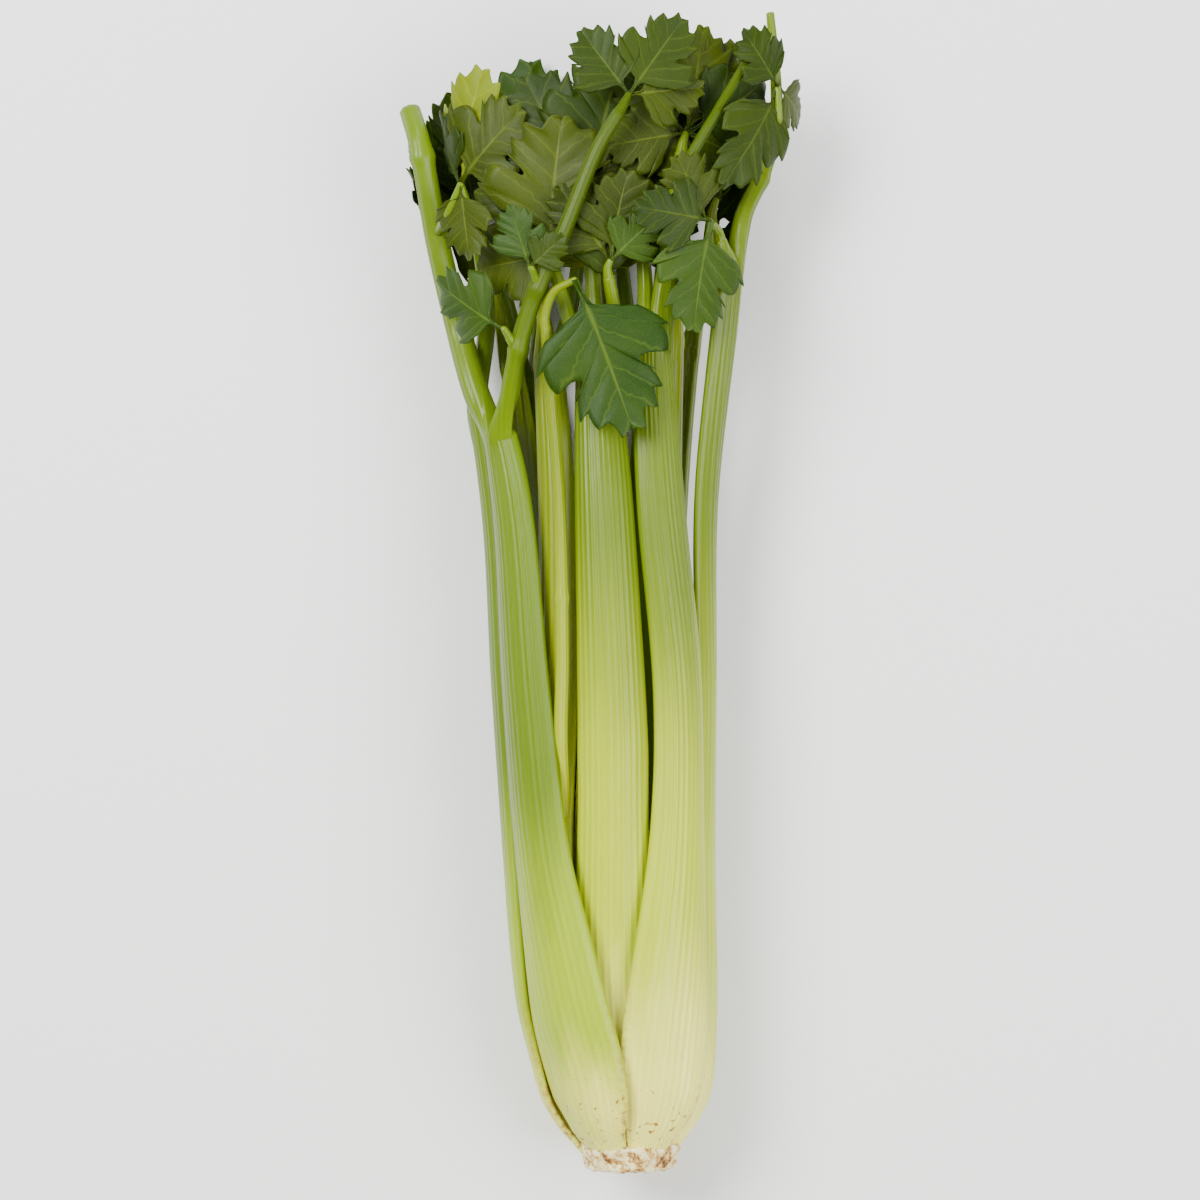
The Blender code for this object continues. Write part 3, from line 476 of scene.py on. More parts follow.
def stalk_rings(stalk, shares):
    """Closed rings of points up the stalk: ribbed back, rounded edge, smooth front, rounded edge."""
    ribs = rib_profile(stalk["ribs"], stalk["name"])
    across = np.linspace(-RIM_SHARE, RIM_SHARE, len(ribs))
    inside = np.linspace(RIM_SHARE, -RIM_SHARE, FRONT_POINTS)
    turns = np.linspace(0, math.pi, EDGE_STEPS + 2)[1:-1]
    rings = []
    for share in shares:
        point, out, right, _ = stalk_frame(stalk, share)
        size, tilt = grown(stalk["size"], share), grown(stalk["tilt"], share)
        half_width, radius, thickness = smooth(SECTION, share) * size
        reach = math.asin(min(half_width / radius, 1.0))
        lean = math.tan(math.radians(tilt))

        def section(at, arc):
            side = arc * np.sin(reach * at)
            return np.stack((side, arc * np.cos(reach * at) - radius + lean * side), axis=-1)

        relief = RIB_HEIGHT * (0.5 + 0.5 * size) * (1 - 0.5 * across**6)
        back = section(across, radius + relief * (ribs - RIB_MIDDLE))
        front = section(inside, radius - thickness * (1 - EDGE_THINNING * inside**2))
        edges = []
        for first, last, at in ((back[-1], front[0], 1.0), (front[-1], back[0], -1.0)):
            middle, half = (first + last) / 2, (first - last) / 2
            tip, rim = section(np.array((at, at * RIM_SHARE)), radius)
            beyond = unit(tip - rim) * np.linalg.norm(half)
            edges.append([middle + math.cos(turn) * half + math.sin(turn) * beyond for turn in turns])
        flat = np.concatenate((back, edges[0], front, edges[1]))
        rings.append(point + flat[:, :1] * right + flat[:, 1:] * out)
    plain = np.zeros(len(flat) - len(ribs))
    dry = (np.abs(np.concatenate((across, plain))) - DRY_RIM_SHARE) / (RIM_SHARE - DRY_RIM_SHARE)
    dry = np.clip(dry, 0, 1)
    dry[len(ribs):len(ribs) + EDGE_STEPS] = dry[-EDGE_STEPS:] = 1
    return np.array(rings), {"rib": np.concatenate((ribs, plain)), "edge": dry}, flat


print("points across the back of a stalk with 12 strings:", len(rib_profile(12, "trial")))


# %% Rounded ends
CAP_ANGLES = [math.radians(angle) for angle in (22, 44, 66, 88)]


def rounded(rings, length):
    """The rings with a rounded cap of that length added before the first and after the last."""
    caps = []
    for edge, inner in ((rings[0], rings[1]), (rings[-1], rings[-2])):
        middle = edge.mean(axis=0)
        ahead = unit(middle - inner.mean(axis=0)) * length
        caps.append([middle + (edge - middle) * math.cos(a) + ahead * math.sin(a) for a in CAP_ANGLES])
    return np.array(caps[0][::-1] + list(rings) + caps[1])


print("rings in a cap:", len(CAP_ANGLES))

# %% [markdown]
# ## Stems
#
# Near its top each stalk divides into stems. The strings of its back run on into them, so each stem
# starts as its own share of the stalk's section, strings and all, and turns round only over the next
# centimetre or two. It is a little swollen at each knuckle. The same grid wraps it.

# %% The section of a stem
BACK_SIDES, FRONT_SIDES = 30, 14
STEM_STRINGS, STRING_SHARE = 9, 0.05
ROUND_SECTION = np.concatenate((
    np.linspace(math.pi, 0, BACK_SIDES, endpoint=False),
    np.linspace(0, -math.pi, FRONT_SIDES, endpoint=False)))


def lengths_along(points):
    """How far along a line through points each of them lies."""
    return np.concatenate(([0.0], np.cumsum(np.linalg.norm(np.diff(points, axis=0), axis=1))))


def smooth_route(points, count):
    """count + 1 points evenly along a smooth line through the given ones."""
    points = np.asarray(points, float)
    lengths = lengths_along(points)
    return smooth(np.column_stack((lengths, points)), np.linspace(0, lengths[-1], count + 1))


def share_of_section(flat, rib_count, part, parts, centre):
    """One stem's share of a stalk's section, as a ring round its own centre."""
    whole = rib_count * STEPS_PER_RIB + 1
    back, front = flat[:whole], flat[whole + EDGE_STEPS:-EDGE_STEPS]
    low, high = part / parts, (part + 1) / parts
    at_back = np.linspace(low, high, BACK_SIDES, endpoint=False) * (whole - 1)
    at_front = (1 - np.linspace(high, low, FRONT_SIDES, endpoint=False)) * (len(front) - 1)
    ring = np.concatenate([
        np.stack([np.interp(at, np.arange(len(line)), line[:, axis]) for axis in (0, 1)], axis=-1)
        for at, line in ((at_back, back), (at_front, front))])
    return ring - centre


print("sides of a stem:", len(ROUND_SECTION))


# %% Stems that grow out of the stalk's section
TURNING_ROUND = 0.018
SUNK_ROOT, PROUD_ROOT = 0.86, 1.02
COLLAR_SWELL, COLLAR_WIDTH = 0.05, 0.0025
KNUCKLE_SWELL, KNUCKLE_WIDTH = 0.2, 0.0022
RISE_POWER = 0.7
ROUND_CAP, CUT_CAP = 0.5, 0.02
FRONT_STRINGS = -0.3
ANY_SIDE = (0.3, 0.2, 1.0)


def stem(name, route, radii, knuckles=(), cut=False, root=None, sideways=None, started=0.0):
    """A stringy stem along a route. root is the ring that it starts as, up to the length started."""
    lengths = lengths_along(route)
    radius = radii[0] + (radii[1] - radii[0]) * lengths / lengths[-1]
    for knuckle in knuckles:
        off_knuckle = lengths - knuckle * lengths[-1]
        radius = radius * (1 + KNUCKLE_SWELL * np.exp(-(off_knuckle / KNUCKLE_WIDTH) ** 2))
    strength = np.maximum(np.sin(ROUND_SECTION), FRONT_STRINGS)
    strings = strength * np.cos(ROUND_SECTION * STEM_STRINGS) * 0.5 + 0.5
    circle = np.stack((np.cos(ROUND_SECTION), np.sin(ROUND_SECTION)), axis=-1)
    circle *= (1 + STRING_SHARE * (strings - 0.5))[:, None]
    side = sideways
    rings = []
    for k, centre in enumerate(route):
        ahead = unit(route[min(k + 1, len(route) - 1)] - route[max(k - 1, 0)])
        guess = side if side is not None else np.cross(ahead, ANY_SIDE)
        side = unit(guess - guess.dot(ahead) * ahead)
        flat = radius[k] * circle
        if root is not None:
            turned = min(max((lengths[k] - started) / TURNING_ROUND, 0), 1)
            turned = turned**2 * (3 - 2 * turned)
            risen = min(lengths[k] / started, 1.0) ** RISE_POWER
            collar = COLLAR_SWELL * math.exp(-((lengths[k] - started) / COLLAR_WIDTH) ** 2)
            proud = SUNK_ROOT + (PROUD_ROOT - SUNK_ROOT) * risen + collar
            flat = (1 - turned) * root * proud + turned * flat
        rings.append(centre + flat[:, :1] * side + flat[:, 1:] * np.cross(side, ahead))
    rings = rounded(rings, radius[-1] * (CUT_CAP if cut else ROUND_CAP))
    return wrap(name, rings, {"rib": strings, "edge": np.zeros(len(strings))})


print("a stem turns round over", TURNING_ROUND, "m")

# %% [markdown]
# ## The growing plan
#
# These are the same stalks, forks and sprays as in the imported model: a course of height, bearing and
# depth for each stalk, the route of each fork, and the place, heading and length of each leaflet.

# %% What the plan says about a stalk and a fork
FORK_RADII, INNER_RADII = (0.0034, 0.0022), (0.0026, 0.0020)


def fork(side, radii, *places, knuckles=(), cut=False, skin=None):
    """A fork: how far beside the stalk's middle it starts (None if it grows from another fork), its
    radius at both ends, the places it passes, and the shares of its length where it has knuckles. Its
    skin is the stalk's own unless it has another."""
    return {
        "side": side, "radii": radii, "places": places, "knuckles": knuckles, "cut": cut, "skin": skin,
    }


def stalk(name, size, ribs, tilt, course, forks, skin=green_skin, slot="stalk"):
    """A stalk: its size at the foot and once settled, its strings, its tilt in degrees at the foot and
    once settled, and its course in rows of height, bearing and depth."""
    return {
        "name": name, "size": size, "ribs": ribs, "tilt": tilt, "course": course, "forks": forks,
        "skin": skin, "slot": slot,
    }


print("a fork tapers from", FORK_RADII[0], "to", FORK_RADII[1], "m in radius")

# %% The four stalks in front
STALKS = [
    stalk("stalk_left", (0.98, 1.0), 12, (15, 3), (
        (0.0060, 118, 0.0), (0.032, 121, 0.0), (0.070, 128, 0.0), (0.108, 136, 0.0),
        (0.162, 140, 0.0), (0.225, 143, 0.0), (0.245, 146, 0.001)), [
        fork(-0.0040, (0.0048, 0.0036), over(-0.0430, 0.266, 0.0045), over(-0.0480, 0.284, 0.0045),
             over(-0.0545, 0.312, 0.0042), over(-0.0600, 0.343, 0.0040), over(-0.0650, 0.356, 0.0036),
             knuckles=(0.86,), cut=True),
        fork(0.0040, (0.0036, 0.0022), over(-0.0280, 0.270, 0.0030), over(-0.0225, 0.290, 0.0030),
             over(-0.0120, 0.313, 0.0030), over(-0.0010, 0.340, 0.0030), over(0.0060, 0.352, 0.0030),
             knuckles=(0.36, 0.52), skin=stem_skin),
        fork(None, (0.0018, 0.0015), over(-0.0275, 0.2745, 0.0030), over(-0.0300, 0.2785, 0.0000)),
        fork(None, (0.0016, 0.0013), over(-0.0200, 0.2950, 0.0030), over(-0.0215, 0.2985, 0.0000)),
        fork(None, (0.0018, 0.0014), over(-0.0550, 0.3140, 0.0042), over(-0.0510, 0.3190, 0.0000)),
    ]),
    stalk("stalk_right", (0.86, 0.86), 12, (13, 0), (
        (0.0060, 66, 0.0), (0.032, 62, 0.0), (0.070, 52, 0.0), (0.108, 45, 0.0),
        (0.162, 46, 0.0), (0.225, 56, 0.0020), (0.275, 60, 0.0080)), [
        fork(-0.0040, FORK_RADII, over(0.0150, 0.298, 0.0190), over(0.0130, 0.320, 0.0190)),
        fork(0.0, FORK_RADII, over(0.0215, 0.302, 0.0150), over(0.0270, 0.340, 0.0125)),
        fork(0.0040, (0.0026, 0.0014), over(0.0250, 0.306, 0.0080), over(0.0285, 0.334, 0.0035),
             over(0.0380, 0.352, 0.0015), over(0.0545, 0.380, 0.0000), knuckles=(0.62,), skin=stem_skin),
    ], light_skin),
    stalk("stalk_far_right", (0.82, 0.80), 10, (18, 3), (
        (0.0060, 11, 0.0), (0.032, 7, 0.0), (0.070, 2, 0.0), (0.108, 0, 0.0005),
        (0.162, 4, 0.0010), (0.225, 14, 0.0008), (0.300, 24, 0.0)), [
        fork(0.0030, (0.0040, 0.0014), over(0.0480, 0.320, 0.0045), over(0.0550, 0.334, 0.0040),
             over(0.0595, 0.350, 0.0040), over(0.0590, 0.366, 0.0050), over(0.0570, 0.388, 0.0060),
             knuckles=(0.5,)),
        fork(-0.0030, (0.0030, 0.0020), over(0.0400, 0.311, 0.0030)),
        fork(None, (0.0022, 0.0016), over(0.0585, 0.3450, 0.0040), over(0.0590, 0.3500, 0.0000)),
    ], light_skin),
    stalk("stalk_middle", (0.62, 0.95), 12, (3, 0), (
        (0.0180, 92, 0.0090), (0.032, 92, 0.0090), (0.070, 90, 0.0085), (0.108, 87, 0.0050),
        (0.150, 86, 0.0015), (0.225, 88, 0.0025), (0.265, 89, 0.0090)), [
        fork(-0.0040, FORK_RADII, over(-0.0100, 0.284, 0.0115), over(-0.0150, 0.300, 0.0110)),
        fork(0.0, (0.0036, 0.0022), over(-0.0020, 0.290, 0.0170), over(-0.0040, 0.324, 0.0170)),
        fork(0.0040, (0.0034, 0.0020), over(0.0050, 0.284, 0.0110), over(0.0030, 0.298, 0.0080)),
    ], light_skin),
]
print("stalks in front:", len(STALKS))

# %% The stalks at the back and the side
STALKS += [
    stalk("stalk_under_right", (0.98, 0.98), 12, (15, 3), (
        (0.0060, 304, 0.0), (0.032, 301, 0.0), (0.070, 300, 0.0), (0.108, 298, -0.0008),
        (0.162, 297, -0.0012), (0.225, 297, -0.0006), (0.250, 297, 0.0020)), [
        fork(0.0040, FORK_RADII, under(0.0100, 0.285, 0.0150), under(0.0070, 0.310, 0.0180)),
        fork(0.0, FORK_RADII, under(0.0200, 0.290, 0.0090), under(0.0230, 0.322, 0.0090)),
        fork(-0.0040, FORK_RADII, under(0.0320, 0.285, 0.0050), under(0.0380, 0.312, 0.0040)),
    ]),
    stalk("stalk_under_left", (0.98, 0.98), 12, (15, 3), (
        (0.0060, 247, 0.0), (0.032, 246, 0.0), (0.070, 245, 0.0), (0.108, 244, -0.0008),
        (0.162, 243, -0.0012), (0.225, 243, -0.0006), (0.262, 243, 0.0020)), [
        fork(-0.0040, FORK_RADII, under(-0.0100, 0.292, 0.0110), under(-0.0060, 0.318, 0.0130)),
        fork(0.0, FORK_RADII, under(-0.0200, 0.296, 0.0050), under(-0.0220, 0.330, 0.0050)),
        fork(0.0040, FORK_RADII, under(-0.0310, 0.290, 0.0080), under(-0.0390, 0.316, 0.0085)),
    ]),
    stalk("stalk_far_left", (0.84, 0.88), 11, (18, 3), (
        (0.0060, 189, 0.0), (0.032, 192, 0.0), (0.070, 196, 0.0), (0.108, 198, 0.0),
        (0.162, 198, 0.0), (0.225, 198, 0.0), (0.256, 198, 0.0010)), [
        fork(0.0030, (0.0036, 0.0022), (176, 0.285, 0.0145), over(-0.0400, 0.308, 0.0165),
             over(-0.0440, 0.322, 0.0145)),
        fork(-0.0030, FORK_RADII, (204, 0.285, 0.0030), (208, 0.308, 0.0030)),
    ]),
]
print("outer stalks:", len(STALKS))

# %% The inner stalks and the heart
STALKS += [
    stalk("inner_stalk_left", (0.56, 0.66), 8, (8, 3), (
        (0.0180, 160, 0.0095), (0.032, 159, 0.0095), (0.070, 153, 0.0105), (0.108, 142, 0.0105),
        (0.162, 126, 0.0095), (0.225, 119, 0.0090), (0.270, 118, 0.0130)), [
        fork(None, (0.0024, 0.0018), (125, 0.120, 0.0125), over(-0.0130, 0.145, 0.0060),
             over(-0.0125, 0.175, 0.0040), over(-0.0135, 0.222, 0.0035), over(-0.0165, 0.262, 0.0030),
             over(-0.0180, 0.282, 0.0025), knuckles=(0.45,)),
        fork(0.0, INNER_RADII, over(-0.0200, 0.300, 0.0210), over(-0.0220, 0.320, 0.0220)),
    ], pale_skin, "inner_stalk"),
    stalk("inner_stalk_right", (0.56, 0.66), 8, (8, 3), (
        (0.0180, 20, 0.0090), (0.032, 18, 0.0090), (0.070, 17, 0.0100), (0.108, 19, 0.0105),
        (0.162, 24, 0.0105), (0.225, 34, 0.0110), (0.278, 34, 0.0160)), [
        fork(0.0, INNER_RADII, (26, 0.304, 0.0225), (16, 0.326, 0.0235)),
    ], pale_skin, "inner_stalk"),
    stalk("inner_stalk_under_right", (0.60, 0.64), 8, (8, 3), (
        (0.0180, 316, 0.0095), (0.032, 313, 0.0095), (0.070, 315, 0.0105), (0.108, 321, 0.0105),
        (0.162, 330, 0.0110), (0.225, 333, 0.0100), (0.275, 335, 0.0120)), [
        fork(0.0, INNER_RADII, (340, 0.300, 0.0145), (346, 0.320, 0.0160)),
    ], pale_skin, "inner_stalk"),
    stalk("inner_stalk_under", (0.52, 0.70), 9, (4, 3), (
        (0.0180, 273, 0.0120), (0.032, 273, 0.0125), (0.070, 272, 0.0125), (0.108, 271, 0.0100),
        (0.162, 270, 0.0060), (0.225, 270, 0.0045), (0.278, 270, 0.0060)), [
        fork(0.0, INNER_RADII, under(0.0010, 0.302, 0.0200), under(0.0000, 0.322, 0.0220)),
    ], pale_skin, "inner_stalk"),
    stalk("inner_stalk_under_left", (0.60, 0.64), 8, (8, 3), (
        (0.0180, 218, 0.0090), (0.032, 217, 0.0090), (0.070, 216, 0.0100), (0.108, 215, 0.0105),
        (0.162, 214, 0.0110), (0.225, 216, 0.0110), (0.270, 216, 0.0130)), [
        fork(0.0, INNER_RADII, (213, 0.298, 0.0155), (210, 0.318, 0.0160)),
    ], pale_skin, "inner_stalk"),
    stalk("heart", (0.42, 0.38), 6, (0, 0), (
        (0.0260, 130, 0.0190), (0.070, 128, 0.0200), (0.108, 120, 0.0210), (0.162, 105, 0.0220),
        (0.225, 96, 0.0230), (0.250, 95, 0.0240)), [
        fork(0.0, (0.0020, 0.0015), (92, 0.270, 0.0280), (90, 0.292, 0.0300)),
    ], heart_skin, "heart"),
]
print("stalks planned:", len(STALKS))

# %% [markdown]
# Each stalk is wrapped, its stems are wrapped and joined to it, and the one piece takes over from the
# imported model's node. The under stalks carry the head's weight, so their lowest ribs are pressed flat.

# %% Finish a piece, and how a fork starts
FLESH_DEPTH = 0.0042
FORK_STARTS = (0.93, 1.0)
SIDEWAYS_AT = 0.95
ROUTE_STEP, FEWEST_STEPS = 0.0016, 6


def paint(piece, finish):
    piece.data.materials.clear()
    piece.data.materials.append(finish)


def take_over(piece, node):
    """Rides the piece on the head and hides the node that it stands for."""
    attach(piece, "root")
    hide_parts(node)


def fork_route(stalk, fork):
    """The places of one fork, starting inside the stalk's top unless it branches off a stem."""
    size = stalk["size"][1]
    points = []
    if fork["side"] is not None:
        for share in FORK_STARTS:
            point, out, right, _ = stalk_frame(stalk, share)
            points.append(point - FLESH_DEPTH * size * out + fork["side"] * size * right)
    points += [on_skin(*place) for place in fork["places"]]
    return smooth_route(points, max(FEWEST_STEPS, int(lengths_along(points)[-1] / ROUTE_STEP)))


def out_of_stalk(stalk, fork, top_section):
    """How a fork starts: its share of the stalk's section, which way is sideways, and how far up."""
    sides = sorted(other["side"] for other in stalk["forks"] if other["side"] is not None)
    centre = np.array((fork["side"], -FLESH_DEPTH)) * stalk["size"][1]
    root = share_of_section(top_section, stalk["ribs"], sides.index(fork["side"]), len(sides), centre)
    low, high = (stalk_frame(stalk, share)[0] for share in FORK_STARTS)
    sideways = stalk_frame(stalk, SIDEWAYS_AT)[2]
    return {"root": root, "sideways": sideways, "started": np.linalg.norm(high - low)}


print("first fork's route:", len(fork_route(STALKS[0], STALKS[0]["forks"][0])), "points")


# %% Make the stalks
FOOT_SHARE, FOOT_RINGS, UPPER_RINGS = 0.12, 14, 70
CAP_LENGTH = 0.004


def make_stalk(stalk):
    shares = np.concatenate((
        np.linspace(0, FOOT_SHARE, FOOT_RINGS, endpoint=False), np.linspace(FOOT_SHARE, 1, UPPER_RINGS)))
    rings, marks, top_section = stalk_rings(stalk, shares)
    parts = [wrap(stalk["name"], rounded(rings, CAP_LENGTH * stalk["size"][1]), marks)]
    paint(parts[0], stalk["skin"])
    for k, fork in enumerate(stalk["forks"]):
        start = {} if fork["side"] is None else out_of_stalk(stalk, fork, top_section)
        route = fork_route(stalk, fork)
        parts.append(stem(f"fork {k}", route, fork["radii"], fork["knuckles"], fork["cut"], **start))
        paint(parts[-1], fork["skin"] or stalk["skin"])
    piece = join(f"ribbed_{stalk['name']}", parts)
    places = vertex_places(piece)
    places[:, 2] = np.maximum(places[:, 2], 0.0)
    place_vertices(piece, places)
    take_over(piece, stalk["name"])
    return piece


for plan in STALKS:
    made = make_stalk(plan)
    print(made.name, len(made.data.polygons), "faces")

# %% [markdown]
# ## Leaves
#
# A celery leaflet has three lobes, cut about halfway to the rib, with coarse teeth that lean forward to
# a small point. A vein runs out to each tooth and the blade swells softly between the veins. It could be
# a picture on a plane, but cut edges only look right when they are real. So a grid is used again: one
# direction walks along the cut edge from the base to the tip, the other runs in to the rib, and each row
# of the grid lies along a vein.

# %% The leaf veins group
LEAF_TEETH = 9
RIB_LINE_WIDTH, SIDE_VEIN_WIDTH, NET_WIDTH = 0.030, 0.09, 0.10
RIB_LINE_SHARE, SIDE_VEIN_SHARE, NET_SHARE = 0.9, 0.42, 0.14

veins, nodes, given, results = group("leaf veins", [
    ("Blade", COLOUR, (0.06, 0.13, 0.012, 1)), ("Second", COLOUR, (0.11, 0.19, 0.02, 1)),
    ("Vein", COLOUR, (0.24, 0.30, 0.06, 1)), ("Teeth", FLOAT, LEAF_TEETH),
], [("Color", COLOUR), ("Height", FLOAT)])
place = place_on_object(nodes)
on_leaf = add(nodes, "SeparateXYZ", {0: add(nodes, "UVMap", uv_map="UVMap").outputs[0]}).outputs
off_rib = maths(nodes, "ABSOLUTE", maths(nodes, "SUBTRACT", on_leaf["X"], 0.5))
rib_line = spread(nodes, off_rib, 0.0, RIB_LINE_WIDTH, RIB_LINE_SHARE, 0.0)
along = maths(nodes, "MULTIPLY", on_leaf["Y"], given["Teeth"])
wavering = maths(nodes, "MULTIPLY_ADD", noise(nodes, place, 260.0, 2.0), 0.55, along)
off_vein = maths(nodes, "PINGPONG", wavering, 0.5)
side_veins = spread(nodes, off_vein, 0.0, SIDE_VEIN_WIDTH, SIDE_VEIN_SHARE, 0.0)
cells = add(nodes, "TexVoronoi", {"Vector": place, "Scale": 900.0}, feature="DISTANCE_TO_EDGE")
net = spread(nodes, cells.outputs["Distance"], 0.0, NET_WIDTH, NET_SHARE, 0.0)
all_veins = maths(nodes, "MAXIMUM", maths(nodes, "MAXIMUM", rib_line, side_veins), net)
cloud = noise(nodes, place, 60.0, 4.0)
mottled = maths(nodes, "MULTIPLY_ADD", attribute(nodes, "tint"), 0.45, cloud)
blade = mix(nodes, spread(nodes, mottled, 0.42, 1.0), given["Blade"], given["Second"])
feed(results["Color"], mix(nodes, all_veins, blade, given["Vein"]))
feed(results["Height"], maths(nodes, "MULTIPLY_ADD", all_veins, -0.6, cloud))
print("group:", veins.name, "with", len(nodes), "nodes")

# %% Leaf materials
# Blade, second colour of the blade, vein
LEAF_COLOURS = {
    "deep": ((0.010, 0.024, 0.001, 1), (0.024, 0.042, 0.001, 1), (0.060, 0.088, 0.005, 1)),
    "olive": ((0.021, 0.034, 0.001, 1), (0.042, 0.060, 0.001, 1), (0.085, 0.110, 0.007, 1)),
    "bright": ((0.012, 0.036, 0.002, 1), (0.028, 0.058, 0.003, 1), (0.068, 0.112, 0.008, 1)),
    "young": ((0.095, 0.13, 0.0, 1), (0.14, 0.18, 0.0, 1), (0.21, 0.26, 0.002, 1)),
}


def leaf_material(name, blade, second, vein):
    made, nodes, inputs = new_material(
        name, Roughness=0.46, Specular_IOR_Level=0.12, Subsurface_Weight=0.10,
        Subsurface_Radius=(0.002, 0.004, 0.0005), Subsurface_Scale=0.3)
    pattern = add(nodes, "Group", {"Blade": blade, "Second": second, "Vein": vein}, node_tree=veins)
    feed(inputs["Base Color"], pattern.outputs["Color"])
    feed(inputs["Normal"], bump(nodes, pattern.outputs["Height"], 0.45, 0.0004))
    return made


LEAVES = {kind: leaf_material(f"{kind} leaf", *colours) for kind, colours in LEAF_COLOURS.items()}
print("leaf materials:", ", ".join(LEAVES))

# %% The edge of a leaflet
# Walk along the edge from the base (0) to the tip (1): share, across, along, rib point it runs to
LEAF_EDGE = (
    (0.00, 0.020, 0.000, 0.000),
    (0.10, 0.020, 0.120, 0.110),
    (0.16, 0.060, 0.190, 0.150),
    (0.24, 0.200, 0.235, 0.170),
    (0.34, 0.390, 0.330, 0.190),
    (0.44, 0.455, 0.480, 0.230),
    (0.52, 0.370, 0.590, 0.290),
    (0.58, 0.215, 0.600, 0.370),
    (0.66, 0.300, 0.700, 0.430),
    (0.76, 0.280, 0.810, 0.560),
    (0.86, 0.190, 0.900, 0.710),
    (0.94, 0.080, 0.970, 0.860),
    (1.00, 0.004, 1.000, 0.975),
)
EDGE_ROWS, BLADE_COLUMNS = 90, 8
TOOTH_DEPTH, TOOTH_LEAN, TOOTH_RISE = 0.060, 0.062, 0.78
print("half width of a leaflet, share of its length:", max(row[1] for row in LEAF_EDGE))

# %% One flat leaflet, cut and quilted
TEETH_BEGIN, TEETH_GROW_IN, TEETH_END, TEETH_FADE_OUT = 0.20, 0.08, 1.02, 0.06
UNEVEN_TEETH, UNEVEN_WIDTH, UNEVEN_START = 0.3, 0.06, 0.15
QUILTING = 0.007
PATTERNS, FLATTEST, WAVIER_BY = 5, 0.012, 0.007


def saw_teeth(phase):
    """Teeth from -0.5 to 0.5 that rise slowly and drop fast, as they lean towards the tip."""
    turn = phase % 1
    return np.where(turn < TOOTH_RISE, (turn / TOOTH_RISE) ** 1.25, (1 - turn) / (1 - TOOTH_RISE)) - 0.5


def leaf_points(seed, waviness):
    """The points of a flat leaflet of length 1, by row along its edge and column across it."""
    draw = random.Random(seed)
    walk = np.linspace(0, 1, EDGE_ROWS + 1)
    toothed = np.clip((walk - TEETH_BEGIN) / TEETH_GROW_IN, 0, 1)
    toothed = toothed * np.clip((TEETH_END - walk) / TEETH_FADE_OUT, 0, 1)
    inner = np.linspace(0, 1, BLADE_COLUMNS + 1)[None, :]
    half = []
    for side in (-1, 1):
        across, along, rib = smooth(LEAF_EDGE, walk).T
        phase = walk * LEAF_TEETH + draw.uniform(-UNEVEN_START, UNEVEN_START)
        saw = saw_teeth(phase) * (1 + UNEVEN_TEETH * np.sin(walk * 23 + draw.uniform(0, 6))) * toothed
        across = across * (1 + draw.uniform(-UNEVEN_WIDTH, UNEVEN_WIDTH)) + TOOTH_DEPTH * saw
        along = along + TOOTH_LEAN * saw
        swell = QUILTING * np.abs(np.sin(math.pi * (phase + 0.05)))[:, None] * np.sin(math.pi * inner * 0.9)
        edge_wave = waviness * inner**2 * np.sin(walk * 14 + draw.uniform(0, 6))[:, None]
        x = side * across[:, None] * inner
        y = rib[:, None] + (along - rib)[:, None] * inner**0.92
        half.append(np.stack((x, y, swell + edge_wave), axis=-1))
    left, right = half
    return np.concatenate((left[:, ::-1], right[:, 1:]), axis=1)


def leaf_template(number):
    """A flat leaflet as a mesh object, its shares in its own UV map."""
    points = leaf_points(number, FLATTEST + WAVIER_BY * number)
    made, index = grid(f"leaflet {number}", 2 * BLADE_COLUMNS, EDGE_ROWS)
    place_vertices(made, points[index[:, 1], index[:, 0]])
    return made


TEMPLATES = [leaf_template(number) for number in range(PATTERNS)]
print("leaflet patterns:", len(TEMPLATES), "with", len(TEMPLATES[0].data.polygons), "faces each")

# %% [markdown]
# ## Laying leaflets on the head
#
# The flat leaflet is copied for each place and laid on the skin of the head: across and along become a
# bearing and a height, and what stands up from the blade becomes less depth. Solidify then gives the
# blade its thickness, so it looks right from below as well.

# %% Lay one leaflet
BLADE_THICKNESS = 0.0004
FANNING = 45.0
FOLD, DROOP, CURL, TWIST = (-0.05, 0.07), (-0.03, 0.02), (-0.10, 0.16), (-0.06, 0.06)


def steer(place, heading, forward, across):
    """Bearings and heights of points that lie ahead of and beside a place, along a heading."""
    bearing, height, depth = place
    sine, cosine = math.sin(math.radians(heading)), math.cos(math.radians(heading))
    right, up = forward * sine + across * cosine, forward * cosine - across * sine

    def arc(angle):
        ends = on_skin(angle + 1, height, depth) - on_skin(angle - 1, height, depth)
        return np.linalg.norm(ends, axis=-1) / 2

    halfway = bearing - right / 2 / arc(bearing)
    return bearing - right / arc(halfway), height + up


